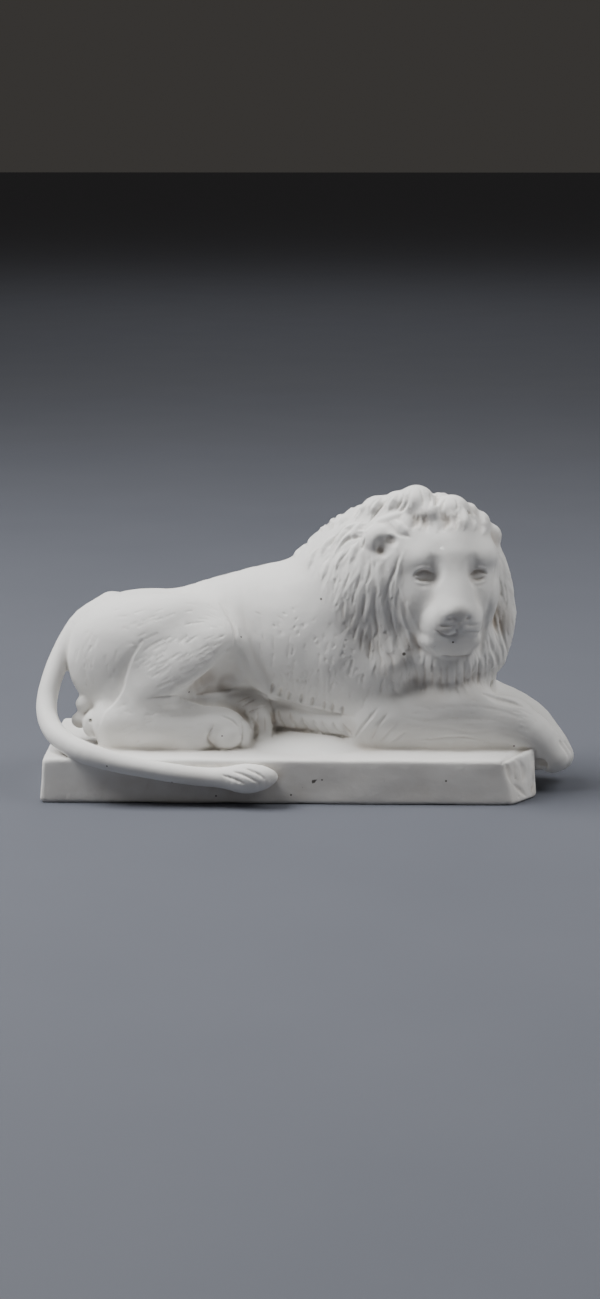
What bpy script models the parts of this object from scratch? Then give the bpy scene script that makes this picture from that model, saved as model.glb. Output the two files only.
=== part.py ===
"""A recumbent lion on a low plinth, cast in one piece in unglazed porcelain.

The plinth is a block with leaning sides, worn edges and one corner cut away. The lion is drawn as rounded
masses, balls and tapered limbs, that melt into one skin. Its mane is raised on that skin in locks that follow
the fall of the hair, and the skin is joined to the plinth.
"""

import math

import bmesh
import bpy
import numpy as np
from mathutils import Euler, Matrix, Vector

# Driving sizes, in metres
PLINTH_LENGTH = 0.200
PLINTH_DEPTH = 0.075
PLINTH_HEIGHT = 0.018
PLINTH_LEAN = 0.0011
PLINTH_EDGE = 0.0011
# The corner cut away at the front right: how far it runs along the front and the end, above and below
CUT_ALONG_FRONT = (0.0138, 0.0104)
CUT_ALONG_END = (0.0185, 0.0100)
LION_HEIGHT = 0.107

# The figure is drawn on a canon: x runs along the plinth, y back from its middle, z up from its top, and one
# unit is a share of the lion's height
CANON_HEIGHT = 107.0
CANON_END = 101.0
CANON_FRONT = 37.5
CANON_DROP = 18.0
UNIT = LION_HEIGHT / CANON_HEIGHT

# The skin
SKIN_GRID = 1.1 * UNIT
SKIN_FACES = 8900
OPEN_AIR = 30 * UNIT
PROBE = 0.1 * UNIT
LONGEST_STEP = 1.5 * UNIT

# The head's own frame: its middle, and the ways forward, to its left as it looks at the viewer, and up
HEAD_AT = np.array([62.4, -3.5, 73.0])
HEAD_TURN = math.radians(12)
FORWARD = np.array([math.sin(HEAD_TURN), -math.cos(HEAD_TURN), 0.0])
SIDEWAYS = np.array([math.cos(HEAD_TURN), math.sin(HEAD_TURN), 0.0])
UPWARD = np.array([0.0, 0.0, 1.0])
HEAD_AXES = np.stack([SIDEWAYS, -FORWARD, UPWARD], 1)
SIDES = (-1, 1)

# The bare face inside the mane: its half width at each height, in the head's frame
FACE_HEIGHTS = (-34, -31, -27, -20, -13, -8, 0, 8, 13, 16.5, 19)
FACE_HALF_WIDTHS = (2, 7, 10.5, 14.5, 18, 20, 21, 19.5, 16, 10, 0)

# The mane's locks
MANE_MIDDLE = (45.0, 4.0, 62.0)
MANE_REACH = 80.0
LOCK_TRIALS = 6000
LOCK_SPACING = 5.9
LOCK_LENGTH = 21.0
LOCK_HALF_WIDTH = 3.4
LOCK_LIFT = 1.9
LOCK_CROWN = 0.7
LOCK_SWING = 0.55
LOCK_STEPS = 12
LOCK_SEED = 7

PORCELAIN = (0.80, 0.79, 0.77, 1.0)


def place(x, y, z):
    """A point of the canon on the object. What hangs below the plinth's top keeps its share of the plinth."""
    drop = UNIT if z > 0 else PLINTH_HEIGHT / CANON_DROP
    return PLINTH_LENGTH / 2 - UNIT * (CANON_END - x), UNIT * y, PLINTH_HEIGHT + drop * z


def place_on_front(x, y, z):
    """A point of the tail, whose depth is kept to the plinth's front face."""
    px, _, pz = place(x, y, z)
    inside = max(y, -CANON_FRONT) / CANON_FRONT * PLINTH_DEPTH / 2
    return px, inside + UNIT * min(0, y + CANON_FRONT), pz


def on_head(forward, sideways, upward):
    """A point of the head's frame on the canon."""
    return tuple(HEAD_AT + forward * FORWARD + sideways * SIDEWAYS + upward * UPWARD)


def rounded_path(knots, steps):
    """A smooth path through knots of place and radius, with steps pieces between two knots."""
    knots = np.array(knots, float)
    if len(knots) < 3:
        return knots
    ends = np.vstack([2 * knots[0] - knots[1], knots, 2 * knots[-1] - knots[-2]])
    path = []
    for a, b, c, d in zip(ends, ends[1:], ends[2:], ends[3:]):
        for t in np.arange(steps) / steps:
            bend = (2 * a - 5 * b + 4 * c - d) * t**2 + (3 * b - a - 3 * c + d) * t**3
            path.append(0.5 * (2 * b + (c - a) * t + bend))
    return np.array(path + [knots[-1]])


class Ball:
    """An ellipsoid, in its own axes. A carved mass is cut away from the rest."""

    def __init__(self, centre, radii, blend, turn=(0, 0, 0), carved=False, axes=None):
        self.centre = np.array(place(*centre))
        self.radii = np.array(radii) * UNIT
        self.blend = blend * UNIT
        self.carved = carved
        own = np.array(Euler([math.radians(angle) for angle in turn]).to_matrix())
        self.axes = own if axes is None else axes @ own
        reach = np.sqrt(((self.axes * self.radii) ** 2).sum(1))
        self.low, self.high = self.centre - reach, self.centre + reach

    def distance(self, points):
        """The signed distance from its surface, exact on the surface itself."""
        local = (points - self.centre) @ self.axes
        near = np.linalg.norm(local / self.radii, axis=1)
        slope = np.linalg.norm(local / self.radii**2, axis=1)
        return near * (near - 1) / np.maximum(slope, 1e-9)

    def shells(self, sphere):
        """The unit sphere's points set as this mass."""
        return [sphere * self.radii @ self.axes.T + self.centre]


class Limb:
    """A tapered round limb along a path of knots, each x, y, z and radius."""

    def __init__(self, knots, blend, slim=None, carved=False, steps=3, put=place):
        placed = [(*put(*knot[:3]), knot[3] * UNIT) for knot in knots]
        self.path = rounded_path(placed, steps)
        self.blend = blend * UNIT
        self.carved = carved
        self.middle, self.slim = (np.zeros(3), np.ones(3)) if slim is None else slim
        radii = self.path[:, 3:]
        self.low = self.slimmed((self.path[:, :3] - radii).min(0))
        self.high = self.slimmed((self.path[:, :3] + radii).max(0))

    def slimmed(self, points):
        """Points drawn in towards the limb's middle plane."""
        return (points - self.middle) * self.slim + self.middle

    def distance(self, points):
        """The signed distance from its surface."""
        points = (points - self.middle) / self.slim + self.middle
        nearest = np.full(len(points), OPEN_AIR)
        for a, b in zip(self.path, self.path[1:]):
            way = b[:3] - a[:3]
            t = np.clip((points - a[:3]) @ way / max(way @ way, 1e-12), 0, 1)
            away = np.linalg.norm(points - a[:3] - t[:, None] * way, axis=1)
            nearest = np.minimum(nearest, away - a[3] - t * (b[3] - a[3]))
        return nearest * self.slim.min()

    def shells(self, sphere):
        """The unit sphere's points set as beads along this limb."""
        beads = []
        for a, b in zip(self.path, self.path[1:]):
            count = max(1, int(np.linalg.norm(b[:3] - a[:3]) / (0.35 * min(a[3], b[3]))))
            for t in np.arange(count + 1) / count:
                bead = a + (b - a) * t
                beads.append(self.slimmed(sphere * bead[3] + bead[:3]))
        return beads


def head_ball(at, radii, blend, turn=(0, 0, 0), carved=False):
    """A ball in the head's frame, its radii given sideways, forward and up."""
    return Ball(on_head(*at), radii, blend, turn, carved, HEAD_AXES)


def head_limb(knots, blend, carved=False, steps=3):
    """A limb in the head's frame."""
    return Limb([(*on_head(*knot[:3]), knot[3]) for knot in knots], blend, carved=carved, steps=steps)


def torso_masses():
    """Trunk, rump, neck, chest and shoulders, and the block of clay under the belly."""
    narrow = (np.array(place(0, 13.5, 32)), np.array([1, 0.78, 1]))
    within_plinth = (np.array(place(0, -10, 32)), np.array([1, 0.86, 1]))
    spine = [(-64, 12.5, 33.5, 25.5), (-42, 13.5, 35, 26), (-22, 13.5, 37.5, 29), (-4, 14, 39.5, 31.5), (12, 13.5, 40, 32)]
    crest = [(13, 12.5, 60, 15.5), (23.5, 10.5, 72, 17.5), (36, 6.5, 80, 18.7), (51, 4.5, 83, 19.8), (62, 3.5, 79, 17)]
    return [
        Limb(spine, 8, slim=narrow),
        Ball((0, 16, 24), (44, 19, 18), 8),
        Ball((-64.5, -0.5, 33.5), (26.5, 17, 25), 8),
        Ball((-60, 20.5, 31), (28, 14, 25), 8),
        Ball((-52, 23.5, 26), (34, 12, 26), 8),
        Limb([(14, 13.5, 40, 31), (34, 9.5, 60, 30), (50, 3.5, 72, 27)], 8, slim=within_plinth),
        Limb(crest, 5),
        Ball((60, 3.5, 30), (25, 20, 28), 6),
        Ball((26, -1.5, 32), (24, 13, 30), 7, turn=(0, 12, 0)),
        Ball((22, 22.5, 32), (26, 12, 30), 7),
        Limb([(-64, 10.5, 10, 15), (-20, 17, 10, 11), (20, 17, 10, 11), (62, 9.5, 12, 15)], 5),
    ]


def hind_masses():
    """The folded near hind leg with its toes, the far hind paw, and the belly's roll with the ramp under it."""
    masses = [
        Ball((-50, -5, 38.5), (28, 14, 22.5), 8, turn=(0, -12, 0)),
        Ball((-42, -8, 30), (21, 12.5, 17), 8, turn=(0, -25, 0)),
        Limb([(-31, -9, 40, 11), (-44, -10.5, 30, 13), (-60, -12, 17, 10.5), (-70, -13, 9, 9)], 8),
        Limb([(-71, -13.5, 8.8, 9.2), (-52, -14.5, 10.5, 10), (-40, -14.5, 9.5, 9.6)], 5),
        Ball((-29.5, -12.5, 8.2), (12, 9.6, 7.8), 2.5),
        Ball((-27, -19, 5.2), (6.4, 4.8, 4.8), 0.9),
        Ball((-19.6, -14.5, 5.2), (4.8, 4.6, 4.8), 0.9),
        Ball((-17.6, -8.5, 5.2), (4.6, 4.4, 4.8), 0.9),
        Ball((-19, -3.2, 5), (4.6, 4, 4.6), 0.9),
        Limb([(-52, 3, 13, 8), (-30, 3, 13.5, 7.5), (-20, 3, 12, 7)], 3),
        Limb([(-9, -1.5, 10, 5), (10, -2.5, 7.8, 4.8), (26, -3, 6, 4.3), (31, -3, 5.4, 3)], 1.2),
        Limb([(-12, 2, -1.5, 6.5), (12, 1, -3, 6.5), (34, 1, -4.5, 6.5)], 3),
        Limb([(-9, -5, 16, 1), (10, -6.5, 13.4, 1), (30, -7, 10.6, 0.8)], 1.5, carved=True),
        Ball((-84, -7.5, 15.3), (4, 4, 3.8), 1.2),
        Ball((-86.5, -9.5, 9), (4.2, 4, 4), 1.2),
        Ball((-80.5, -11.5, 8.5), (4.2, 4.2, 5.4), 1.2, turn=(0, 10, 0)),
    ]
    for toe in range(3):
        y = -4.5 + 5 * toe
        ahead = 1.3 * (toe == 1)
        knots = [(-22, y + 1.5, 16.5 + ahead, 4.2), (-14.5 + ahead, y + 0.4, 14.5 + ahead, 4.3)]
        knots += [(-11.2 + ahead, y, 9, 4.6), (-11 + ahead, y, 3, 4.2)]
        masses.append(Limb(knots, 1))
    return masses


def fore_masses():
    """The forelegs: the near one lies along the plinth, and both paws hang over its end."""
    return [
        Limb([(22, -4.5, 36, 14), (32, -6.5, 20, 12), (40, -8.5, 12, 11)], 6),
        Limb([(38, -8.5, 12, 11.5), (66, -9.5, 11.5, 11.3), (90, -9.5, 10.5, 9.5)], 5),
        Limb([(44, -9.5, 11, 9), (33, -11, 5.5, 6), (26.5, -12.5, 2, 2.4)], 3),
        Limb([(86, -9.5, 10.5, 9.8), (99, -9.5, 5, 8.6), (108, -9.5, -4, 7.2)], 3),
        Limb([(60, 12.5, 17, 10), (84, 11.5, 14, 8.4), (98, 8.5, 8, 8), (106, 4.5, -0.5, 7.6), (111, 2.5, -6.5, 6.8)], 3),
        Ball((62, 6.5, 16), (30, 16, 16), 6),
    ]


def tail_masses():
    """The tail falls from the rump, turns round the plinth's corner and lies along its front, to a tuft."""
    fall = [(-74, 10.5, 53, 6.5), (-84, 8.5, 47.5, 5.8), (-90.5, 4.5, 40, 5), (-94.6, 0.5, 33, 4.4), (-97.4, -4.5, 26, 4.1)]
    turn = [(-98.8, -9.5, 19, 4.1), (-98.3, -15.5, 13.5, 4.1), (-95.5, -22.5, 9.4, 4.2), (-90.5, -29.5, 6.2, 4.3)]
    lie = [(-82, -36, 3, 4.2), (-69.3, -39.5, -0.3, 4), (-56, -40.9, -2.8, 3.9), (-36.5, -40.8, -5.8, 3.7)]
    tuft = [(-25, -41, -6.3, 4.4), (-17, -41.2, -6.5, 5.8), (-11, -41.2, -6.3, 5.2), (-6.5, -41, -6, 3), (-4.8, -40.8, -5.9, 1.3)]
    return [Limb(fall + turn + lie + tuft, 2, put=place_on_front)]


def skull_masses():
    """The head's big masses: cranium, brows, cheeks, muzzle and jaw."""
    masses = [
        head_ball((0, 0, 4), (20, 18, 17), 5),
        head_ball((5, 0, 8.5), (16.5, 12, 9.5), 4),
    ]
    for side in SIDES:
        masses += [
            head_ball((8, 9.5 * side, 5.2), (10, 9, 6), 4, turn=(0, 0, -10 * side)),
            head_ball((3, 12.5 * side, -2), (9.3, 10, 14), 4),
            head_ball((9.6, 11.3 * side, -7.6), (8.5, 7.2, 5.8), 4, turn=(0, 0, -14 * side)),
            head_ball((5.5, 8.5 * side, -17), (9.5, 9.5, 11), 4, turn=(0, 12 * side, 0)),
            head_limb([(10, 3.6 * side, -12.5, 8), (19.5, 4.2 * side, -15.5, 7.4)], 4),
        ]
    masses.append(head_limb([(8, 0, -23, 8.5), (15, 0, -26, 7)], 3.5))
    return masses


def muzzle_masses():
    """The nose's broad bridge and pad, the whisker pads, the lips and the chin."""
    masses = [
        head_limb([(14.4, 0, 5, 4), (20, 0, -3.5, 4), (26.6, 0, -11.4, 4)], 3),
        head_ball((16.6, 0, -27.4), (8.4, 7.4, 5.2), 2.5),
        head_limb([(19.5, -7.2, -25.2, 1.7), (23.8, 0, -25, 2.2), (19.5, 7.2, -25.2, 1.7)], 1.8),
    ]
    for side in SIDES:
        masses += [
            head_limb([(13.8, 2.4 * side, 5, 4), (19, 3 * side, -3.5, 4.2), (24.4, 4.4 * side, -11.4, 4.4)], 3),
            head_ball((20.8, 5.6 * side, -16.6), (6.2, 7.6, 5.6), 3, turn=(0, 0, -18 * side)),
            head_limb([(17.5, 10.6 * side, -21, 1.6), (23.6, 6.6 * side, -22.2, 2), (27, 2 * side, -19.8, 1.7)], 1.4),
            head_ball((27, 3.5 * side, -13.2), (3.1, 3, 2.7), 1.6),
        ]
    masses += [
        head_ball((27.6, 0, -12.4), (4.4, 2.8, 2.4), 1.6),
        head_ball((27.4, 0, -15.4), (3, 2.6, 3), 1.4),
        head_limb([(30.2, 0, -17.4, 0.6), (28.6, 0, -21, 0.8)], 0.9, carved=True),
    ]
    for side in SIDES:
        masses.append(head_ball((29.8, 4 * side, -14.4), (1.4, 1.6, 1), 0.8, turn=(0, 25 * side, 0), carved=True))
    return masses


def eye_masses():
    """Deep sockets with heavy lids round each eye."""
    masses = []
    for side in SIDES:
        upper = [(16.4, 6.3, -2.4, 0.9), (18, 8.8, 0.1, 1.2), (17.2, 12, 0.2, 1.2), (13.7, 15, -1.8, 0.9)]
        lower = [(16.4, 6.3, -2.8, 0.8), (17.3, 9, -4.6, 1), (16.3, 12.2, -4.5, 0.9), (13.7, 15, -2.4, 0.8)]
        masses += [
            head_ball((18.9, 9.8 * side, -1), (5, 3.4, 3.4), 2.4, turn=(0, 0, -20 * side), carved=True),
            head_ball((19.2, 7.8 * side, 3.2), (1.8, 2.4, 3.6), 2.4, carved=True),
            head_ball((13.4, 10.2 * side, -2.1), (4.7, 4.3, 3.6), 0.6, turn=(0, 0, -22 * side)),
            head_limb([(f, s * side, u, r) for f, s, u, r in upper], 0.9),
            head_limb([(f, s * side, u, r) for f, s, u, r in lower], 0.9),
        ]
    return masses


def mane_masses():
    """The mane's mass under its locks: a mound behind the face, a collar round it and a beard."""
    masses = [
        head_ball((-9, 0, -7), (27.5, 19, 33.5), 5),
        head_ball((-5, -1, 15), (18, 14, 9.5), 4),
    ]
    for side in SIDES:
        collar = [(-3, 14, 14, 5), (-4, 18.5, 7, 5), (-3, 22.8, -3, 5.4), (-2, 24, -12, 5.8), (1, 22.2, -24, 6)]
        collar.append((5, 14, -37, 6))
        masses.append(head_limb([(f, s * side, u, r) for f, s, u, r in collar], 3.5))
    masses += [
        head_limb([(9, -9, -37, 5.5), (11, 0, -40, 6), (9, 9, -37, 5.5)], 3.5),
        head_ball((11, 0, -35), (12, 7, 8), 3),
    ]
    return masses


def ear_masses():
    """Small round ears, cupped towards the front. The one on the far side lies further back."""
    masses = []
    for side, back, out in ((-1, 6, 24.8), (1, 13, 21.5)):
        masses += [
            head_ball((-back, out * side, 9.8), (6.2, 4.4, 6.2), 1.2, turn=(0, 18 * side, -16 * side)),
            head_ball((4.6 - back, (out + 0.6) * side, 8.8), (4, 4.4, 4.2), 0.8, turn=(0, 0, -16 * side), carved=True),
        ]
    return masses


def melt(a, b, width):
    """The smaller of two distances, rounded over where they meet."""
    share = np.clip(0.5 + 0.5 * (b - a) / width, 0, 1)
    return b + (a - b) * share - width * share * (1 - share)


def field(masses, points):
    """The signed distance of points from the melted masses, capped away from them."""
    distance = np.full(len(points), OPEN_AIR)
    for mass in masses:
        reach = mass.blend + 5 * UNIT
        near = np.flatnonzero(((points > mass.low - reach) & (points < mass.high + reach)).all(1))
        if not len(near):
            continue
        own = mass.distance(points[near])
        if mass.carved:
            distance[near] = -melt(-distance[near], own, mass.blend)
        else:
            distance[near] = melt(distance[near], own, mass.blend)
    return distance


def slope(masses, points, distance):
    """The field's gradient."""
    gradient = np.empty_like(points)
    for axis in range(3):
        probe = np.zeros(3)
        probe[axis] = PROBE
        gradient[:, axis] = (field(masses, points + probe) - distance) / PROBE
    return gradient


def settle(masses, points, rounds):
    """Points moved onto the masses' surface."""
    for _ in range(rounds):
        distance = field(masses, points)
        gradient = slope(masses, points, distance)
        step = gradient * (distance / np.maximum((gradient**2).sum(1), 0.05))[:, None]
        length = np.linalg.norm(step, axis=1)
        step *= np.minimum(1, LONGEST_STEP / np.maximum(length, 1e-12))[:, None]
        points = points - step
    return points


def outward(masses, points):
    """Unit normals of the masses' surface."""
    gradient = slope(masses, points, field(masses, points))
    return gradient / np.maximum(np.linalg.norm(gradient, axis=1), 1e-9)[:, None]


def blocked_out(masses):
    """All standing masses as spheres and beads in one mesh, still passing through each other."""
    bm = bmesh.new()
    bmesh.ops.create_icosphere(bm, subdivisions=3, radius=1)
    sphere = np.array([vert.co[:] for vert in bm.verts])
    faces = np.array([[vert.index for vert in face.verts] for face in bm.faces])
    bm.free()
    shells = [shell for mass in masses if not mass.carved for shell in mass.shells(sphere)]
    mesh = bpy.data.meshes.new("masses")
    mesh.from_pydata(
        np.concatenate(shells), [], np.concatenate([faces + len(sphere) * i for i in range(len(shells))]).tolist()
    )
    return mesh


def modified(mesh, kind, **settings):
    """The mesh as one modifier leaves it."""
    holder = bpy.data.objects.new("holder", mesh)
    bpy.context.scene.collection.objects.link(holder)
    modifier = holder.modifiers.new(kind, kind)
    for name, value in settings.items():
        setattr(modifier, name, value)
    result = bpy.data.meshes.new_from_object(holder.evaluated_get(bpy.context.evaluated_depsgraph_get()))
    bpy.data.objects.remove(holder)
    return result


def points_of(mesh):
    """The mesh's points as an array."""
    points = np.empty(len(mesh.vertices) * 3, np.float32)
    mesh.vertices.foreach_get("co", points)
    return points.reshape(-1, 3).astype(float)


def move_points(mesh, points):
    """Gives the mesh's points new places."""
    mesh.vertices.foreach_set("co", points.astype(np.float32).ravel())
    mesh.update()


def ramp(value, low, high):
    """0 below low, 1 above high, and smooth between."""
    t = np.clip((value - low) / (high - low), 0, 1)
    return t * t * (3 - 2 * t)


def on_canon(points):
    """Points of the object as canon units, above the plinth's top."""
    end = np.array([PLINTH_LENGTH / 2, 0, PLINTH_HEIGHT])
    return (points - end) / UNIT + (CANON_END, 0, 0)


def from_head(canon):
    """Forward, sideways and upward places in the head's frame."""
    away = canon - HEAD_AT
    return away @ FORWARD, away @ SIDEWAYS, away @ UPWARD


def hair(points):
    """How fully the mane grows at each point: none on the face, the ears, the body and the forelegs."""
    canon = on_canon(points)
    x, _, z = canon.T
    forward, sideways, upward = from_head(canon)
    inside = np.minimum(np.interp(upward, FACE_HEIGHTS, FACE_HALF_WIDTHS) - np.abs(sideways), 3)
    face = ramp(inside, -0.5, 1.5) * ramp(forward, -4, 0) * (upward > FACE_HEIGHTS[0])
    hairline = 4 + (76 - z) * 0.62
    grown = ramp(x, hairline - 2, hairline + 8) * ramp(z, 21, 27) * (1 - face)
    for side in SIDES:
        ear = np.array(on_head(-3, 24.8 * side, 9.8))
        grown = grown * ramp(np.linalg.norm(canon - ear, axis=1), 6, 8.5)
    return grown * (1 - ramp(x, 70, 78) * (1 - ramp(z, 22, 28)))


def combing(points):
    """The way that the hair falls: up and back from the brow, and down along the neck and the cheeks."""
    canon = on_canon(points)
    _, sideways, upward = from_head(canon)
    top = ramp(upward, 4, 20)[:, None]
    backward = np.array([-1.0, 0, 0])
    over = -0.5 * FORWARD + 0.8 * SIDEWAYS * (sideways / 22)[:, None] + 0.35 * backward
    lean = np.clip((56 - canon[:, 0]) / 30, 0, 1)[:, None]
    down = -0.9 * UPWARD + 0.12 * SIDEWAYS * np.sign(sideways)[:, None] + 0.5 * backward * lean
    return over * top + down * (1 - top)


def lock_roots(masses):
    """Evenly spread roots on the mane, found by rays that come in from all round its middle."""
    count = np.arange(LOCK_TRIALS)
    height = 1 - (2 * count + 1) / LOCK_TRIALS
    angle = count * math.pi * (3 - math.sqrt(5))
    ring = np.sqrt(1 - height**2)
    ways = np.stack([ring * np.cos(angle), ring * np.sin(angle), height], 1)
    points = np.array(place(*MANE_MIDDLE)) + ways * MANE_REACH * UNIT
    for _ in range(24):
        points = points - ways * (0.7 * field(masses, points))[:, None]
    points = points[(hair(points) > 0.4) & (np.abs(field(masses, points)) < UNIT)]
    order = np.random.default_rng(LOCK_SEED).permutation(len(points))
    roots = np.empty((0, 3))
    for point in points[order]:
        if not len(roots) or np.linalg.norm(roots - point, axis=1).min() > LOCK_SPACING * UNIT:
            roots = np.vstack([roots, point])
    return roots


def grown_locks(masses, roots):
    """Each lock's path over the skin and the skin's normals along it."""
    chance = np.random.default_rng(LOCK_SEED)
    count = len(roots)
    stride = LOCK_LENGTH * UNIT / LOCK_STEPS * chance.uniform(0.8, 1.2, count)
    phase = chance.uniform(0, math.pi / 2, count)
    swing = LOCK_SWING * chance.uniform(0.6, 1.3, count) * chance.choice([-1, 1], count)
    points = settle(masses, roots, 2)
    paths, normals = [points], [outward(masses, points)]
    for step in range(LOCK_STEPS):
        up = normals[-1]
        way = combing(points)
        way -= up * (way * up).sum(1)[:, None]
        way /= np.maximum(np.linalg.norm(way, axis=1), 1e-9)[:, None]
        angle = swing * np.sin(2 * math.pi * step / LOCK_STEPS + phase)
        way = way * np.cos(angle)[:, None] + np.cross(up, way) * np.sin(angle)[:, None]
        points = settle(masses, points + way * stride[:, None], 1)
        paths.append(points)
        normals.append(outward(masses, points))
    return np.stack(paths, 1), np.stack(normals, 1)


def along_lock(path, normals, points):
    """How far along the lock each point lies, from 0 to 1, and how far to its side."""
    aside = np.full(len(points), OPEN_AIR)
    along = np.zeros(len(points))
    last = len(path) - 1
    for i, (a, b, up) in enumerate(zip(path, path[1:], normals)):
        way = b - a
        t = np.clip((points - a) @ way / max(way @ way, 1e-12), 0, 1)
        away = points - a - t[:, None] * way
        above = away @ up
        flat = np.linalg.norm(away - above[:, None] * up, axis=1)
        flat += 0.5 * np.maximum(np.abs(above) - 2 * UNIT, 0)
        closer = flat < aside
        aside = np.where(closer, flat, aside)
        along = np.where(closer, (i + t) / last, along)
    return along, aside


def lock_heights(masses, points):
    """How far the locks stand above the skin. Each is pointed and lifts towards its tip, over the next one."""
    paths, normals = grown_locks(masses, lock_roots(masses))
    chance = np.random.default_rng(LOCK_SEED + 1)
    heights = np.zeros(len(points))
    for path, up in zip(paths, normals):
        half_width = LOCK_HALF_WIDTH * UNIT * chance.uniform(0.85, 1.2)
        rise = chance.uniform(0.75, 1.25)
        low, high = path.min(0) - 1.3 * half_width, path.max(0) + 1.3 * half_width
        near = np.flatnonzero(((points > low) & (points < high)).all(1))
        if not len(near):
            continue
        along, aside = along_lock(path, up, points[near])
        root = 0.6 + 0.4 * np.sqrt(np.clip(along / 0.25, 0, 1))
        tip = np.sqrt(np.clip((1 - along) / 0.45, 0, 1))
        width = np.maximum(half_width * root * tip, 1e-3 * UNIT)
        round_over = np.sqrt(np.clip(1 - (aside / width) ** 2, 0, 1))
        lift = (LOCK_LIFT * (0.35 + 0.65 * along) * rise + LOCK_CROWN) * UNIT
        heights[near] = np.maximum(heights[near], lift * round_over)
    return heights * hair(points)


def lion_mesh():
    """The lion's skin: masses fused, settled and given their locks, in a number of faces a solid can carry."""
    masses = torso_masses() + hind_masses() + fore_masses() + tail_masses()
    masses += mane_masses() + skull_masses() + muzzle_masses() + eye_masses() + ear_masses()
    mesh = modified(blocked_out(masses), "REMESH", mode="VOXEL", voxel_size=SKIN_GRID)
    move_points(mesh, settle(masses, points_of(mesh), 4))
    mesh = modified(mesh, "REMESH", mode="VOXEL", voxel_size=SKIN_GRID)
    points = settle(masses, points_of(mesh), 2)
    maned = np.flatnonzero(hair(points) > 0.02)
    points[maned] += outward(masses, points[maned]) * lock_heights(masses, points[maned])[:, None]
    move_points(mesh, points)
    triangles = 2 * len(mesh.polygons)
    return modified(mesh, "DECIMATE", ratio=SKIN_FACES / triangles, use_collapse_triangulate=True)


def cleared_scene():
    """Removes what a new file holds."""
    for thing in list(bpy.data.objects):
        bpy.data.objects.remove(thing)


def collection(name):
    """A new collection in the scene."""
    made = bpy.data.collections.new(name)
    bpy.context.scene.collection.children.link(made)
    return made


def helper(name, mesh, home):
    """An object that only shapes another."""
    thing = bpy.data.objects.new(name, mesh)
    home.objects.link(thing)
    thing.hide_render = True
    thing.display_type = "WIRE"
    return thing


def corner_wedge():
    """A cube whose one face is the plane of the corner's cut."""
    front, end = -PLINTH_DEPTH / 2, PLINTH_LENGTH / 2
    lean = PLINTH_LEAN
    top_front = Vector((end - lean - CUT_ALONG_FRONT[0], front + lean, PLINTH_HEIGHT))
    top_end = Vector((end - lean, front + lean + CUT_ALONG_END[0], PLINTH_HEIGHT))
    foot_front = Vector((end - CUT_ALONG_FRONT[1], front, 0))
    across = (top_end - top_front).normalized()
    face = across.cross(foot_front - top_front).normalized()
    if face.x < 0:
        face.negate()
    side = 2 * max(PLINTH_HEIGHT, *CUT_ALONG_FRONT, *CUT_ALONG_END)
    turn = Matrix((across, face, across.cross(face))).transposed().to_4x4()
    middle = (top_front + top_end) / 2 + face * side / 2
    bm = bmesh.new()
    bmesh.ops.create_cube(bm, size=side * 1.5, matrix=Matrix.Translation(middle + face * side / 4) @ turn)
    bmesh.ops.recalc_face_normals(bm, faces=bm.faces)
    mesh = bpy.data.meshes.new("corner_wedge")
    bm.to_mesh(mesh)
    bm.free()
    return mesh


def plinth_block(cutters):
    """The plinth: a block whose sides lean in, with its corner cut and its edges worn round."""
    bm = bmesh.new()
    size = Matrix.Diagonal((PLINTH_LENGTH, PLINTH_DEPTH, PLINTH_HEIGHT, 1))
    bmesh.ops.create_cube(bm, size=1, matrix=Matrix.Translation((0, 0, PLINTH_HEIGHT / 2)) @ size)
    for vert in bm.verts:
        if vert.co.z > PLINTH_HEIGHT / 2:
            vert.co.x -= math.copysign(PLINTH_LEAN, vert.co.x)
            vert.co.y -= math.copysign(PLINTH_LEAN, vert.co.y)
    mesh = bpy.data.meshes.new("plinth")
    bm.to_mesh(mesh)
    bm.free()
    plinth = helper("plinth", mesh, cutters)
    cut = plinth.modifiers.new("corner", "BOOLEAN")
    cut.operation = "DIFFERENCE"
    cut.object = helper("corner_wedge", corner_wedge(), cutters)
    worn = plinth.modifiers.new("worn_edges", "BEVEL")
    worn.width = PLINTH_EDGE
    worn.segments = 3
    worn.limit_method = "ANGLE"
    return plinth


def porcelain():
    """Matt white porcelain without a glaze."""
    material = bpy.data.materials.new("bisque_porcelain")
    material.use_nodes = True
    shader = material.node_tree.nodes["Principled BSDF"]
    shader.inputs["Base Color"].default_value = PORCELAIN
    shader.inputs["Roughness"].default_value = 0.62
    shader.inputs["Metallic"].default_value = 0
    return material


def main():
    """Builds the lion on its plinth."""
    cleared_scene()
    lion = bpy.data.objects.new("lion_on_plinth", lion_mesh())
    collection("reclining_lion").objects.link(lion)
    lion.data.materials.clear()
    lion.data.materials.append(porcelain())
    joined = lion.modifiers.new("plinth", "BOOLEAN")
    joined.operation = "UNION"
    joined.object = plinth_block(collection("cutters"))
    lion.data.shade_smooth()


main()
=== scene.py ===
"""Dresses the reclining lion, one casting in unglazed porcelain with its plinth, and sets its studio.

The skin is drawn as melted masses, as the solid is, on a finer grid. The mane's locks, the modelling
strokes, the fur's hairs and the pits are then raised from it or pressed into it.
"""

import sys

import logging
import math
from collections.abc import Iterator, Sequence
from dataclasses import dataclass, field, replace
from enum import Enum
from typing import Any, Protocol

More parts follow.
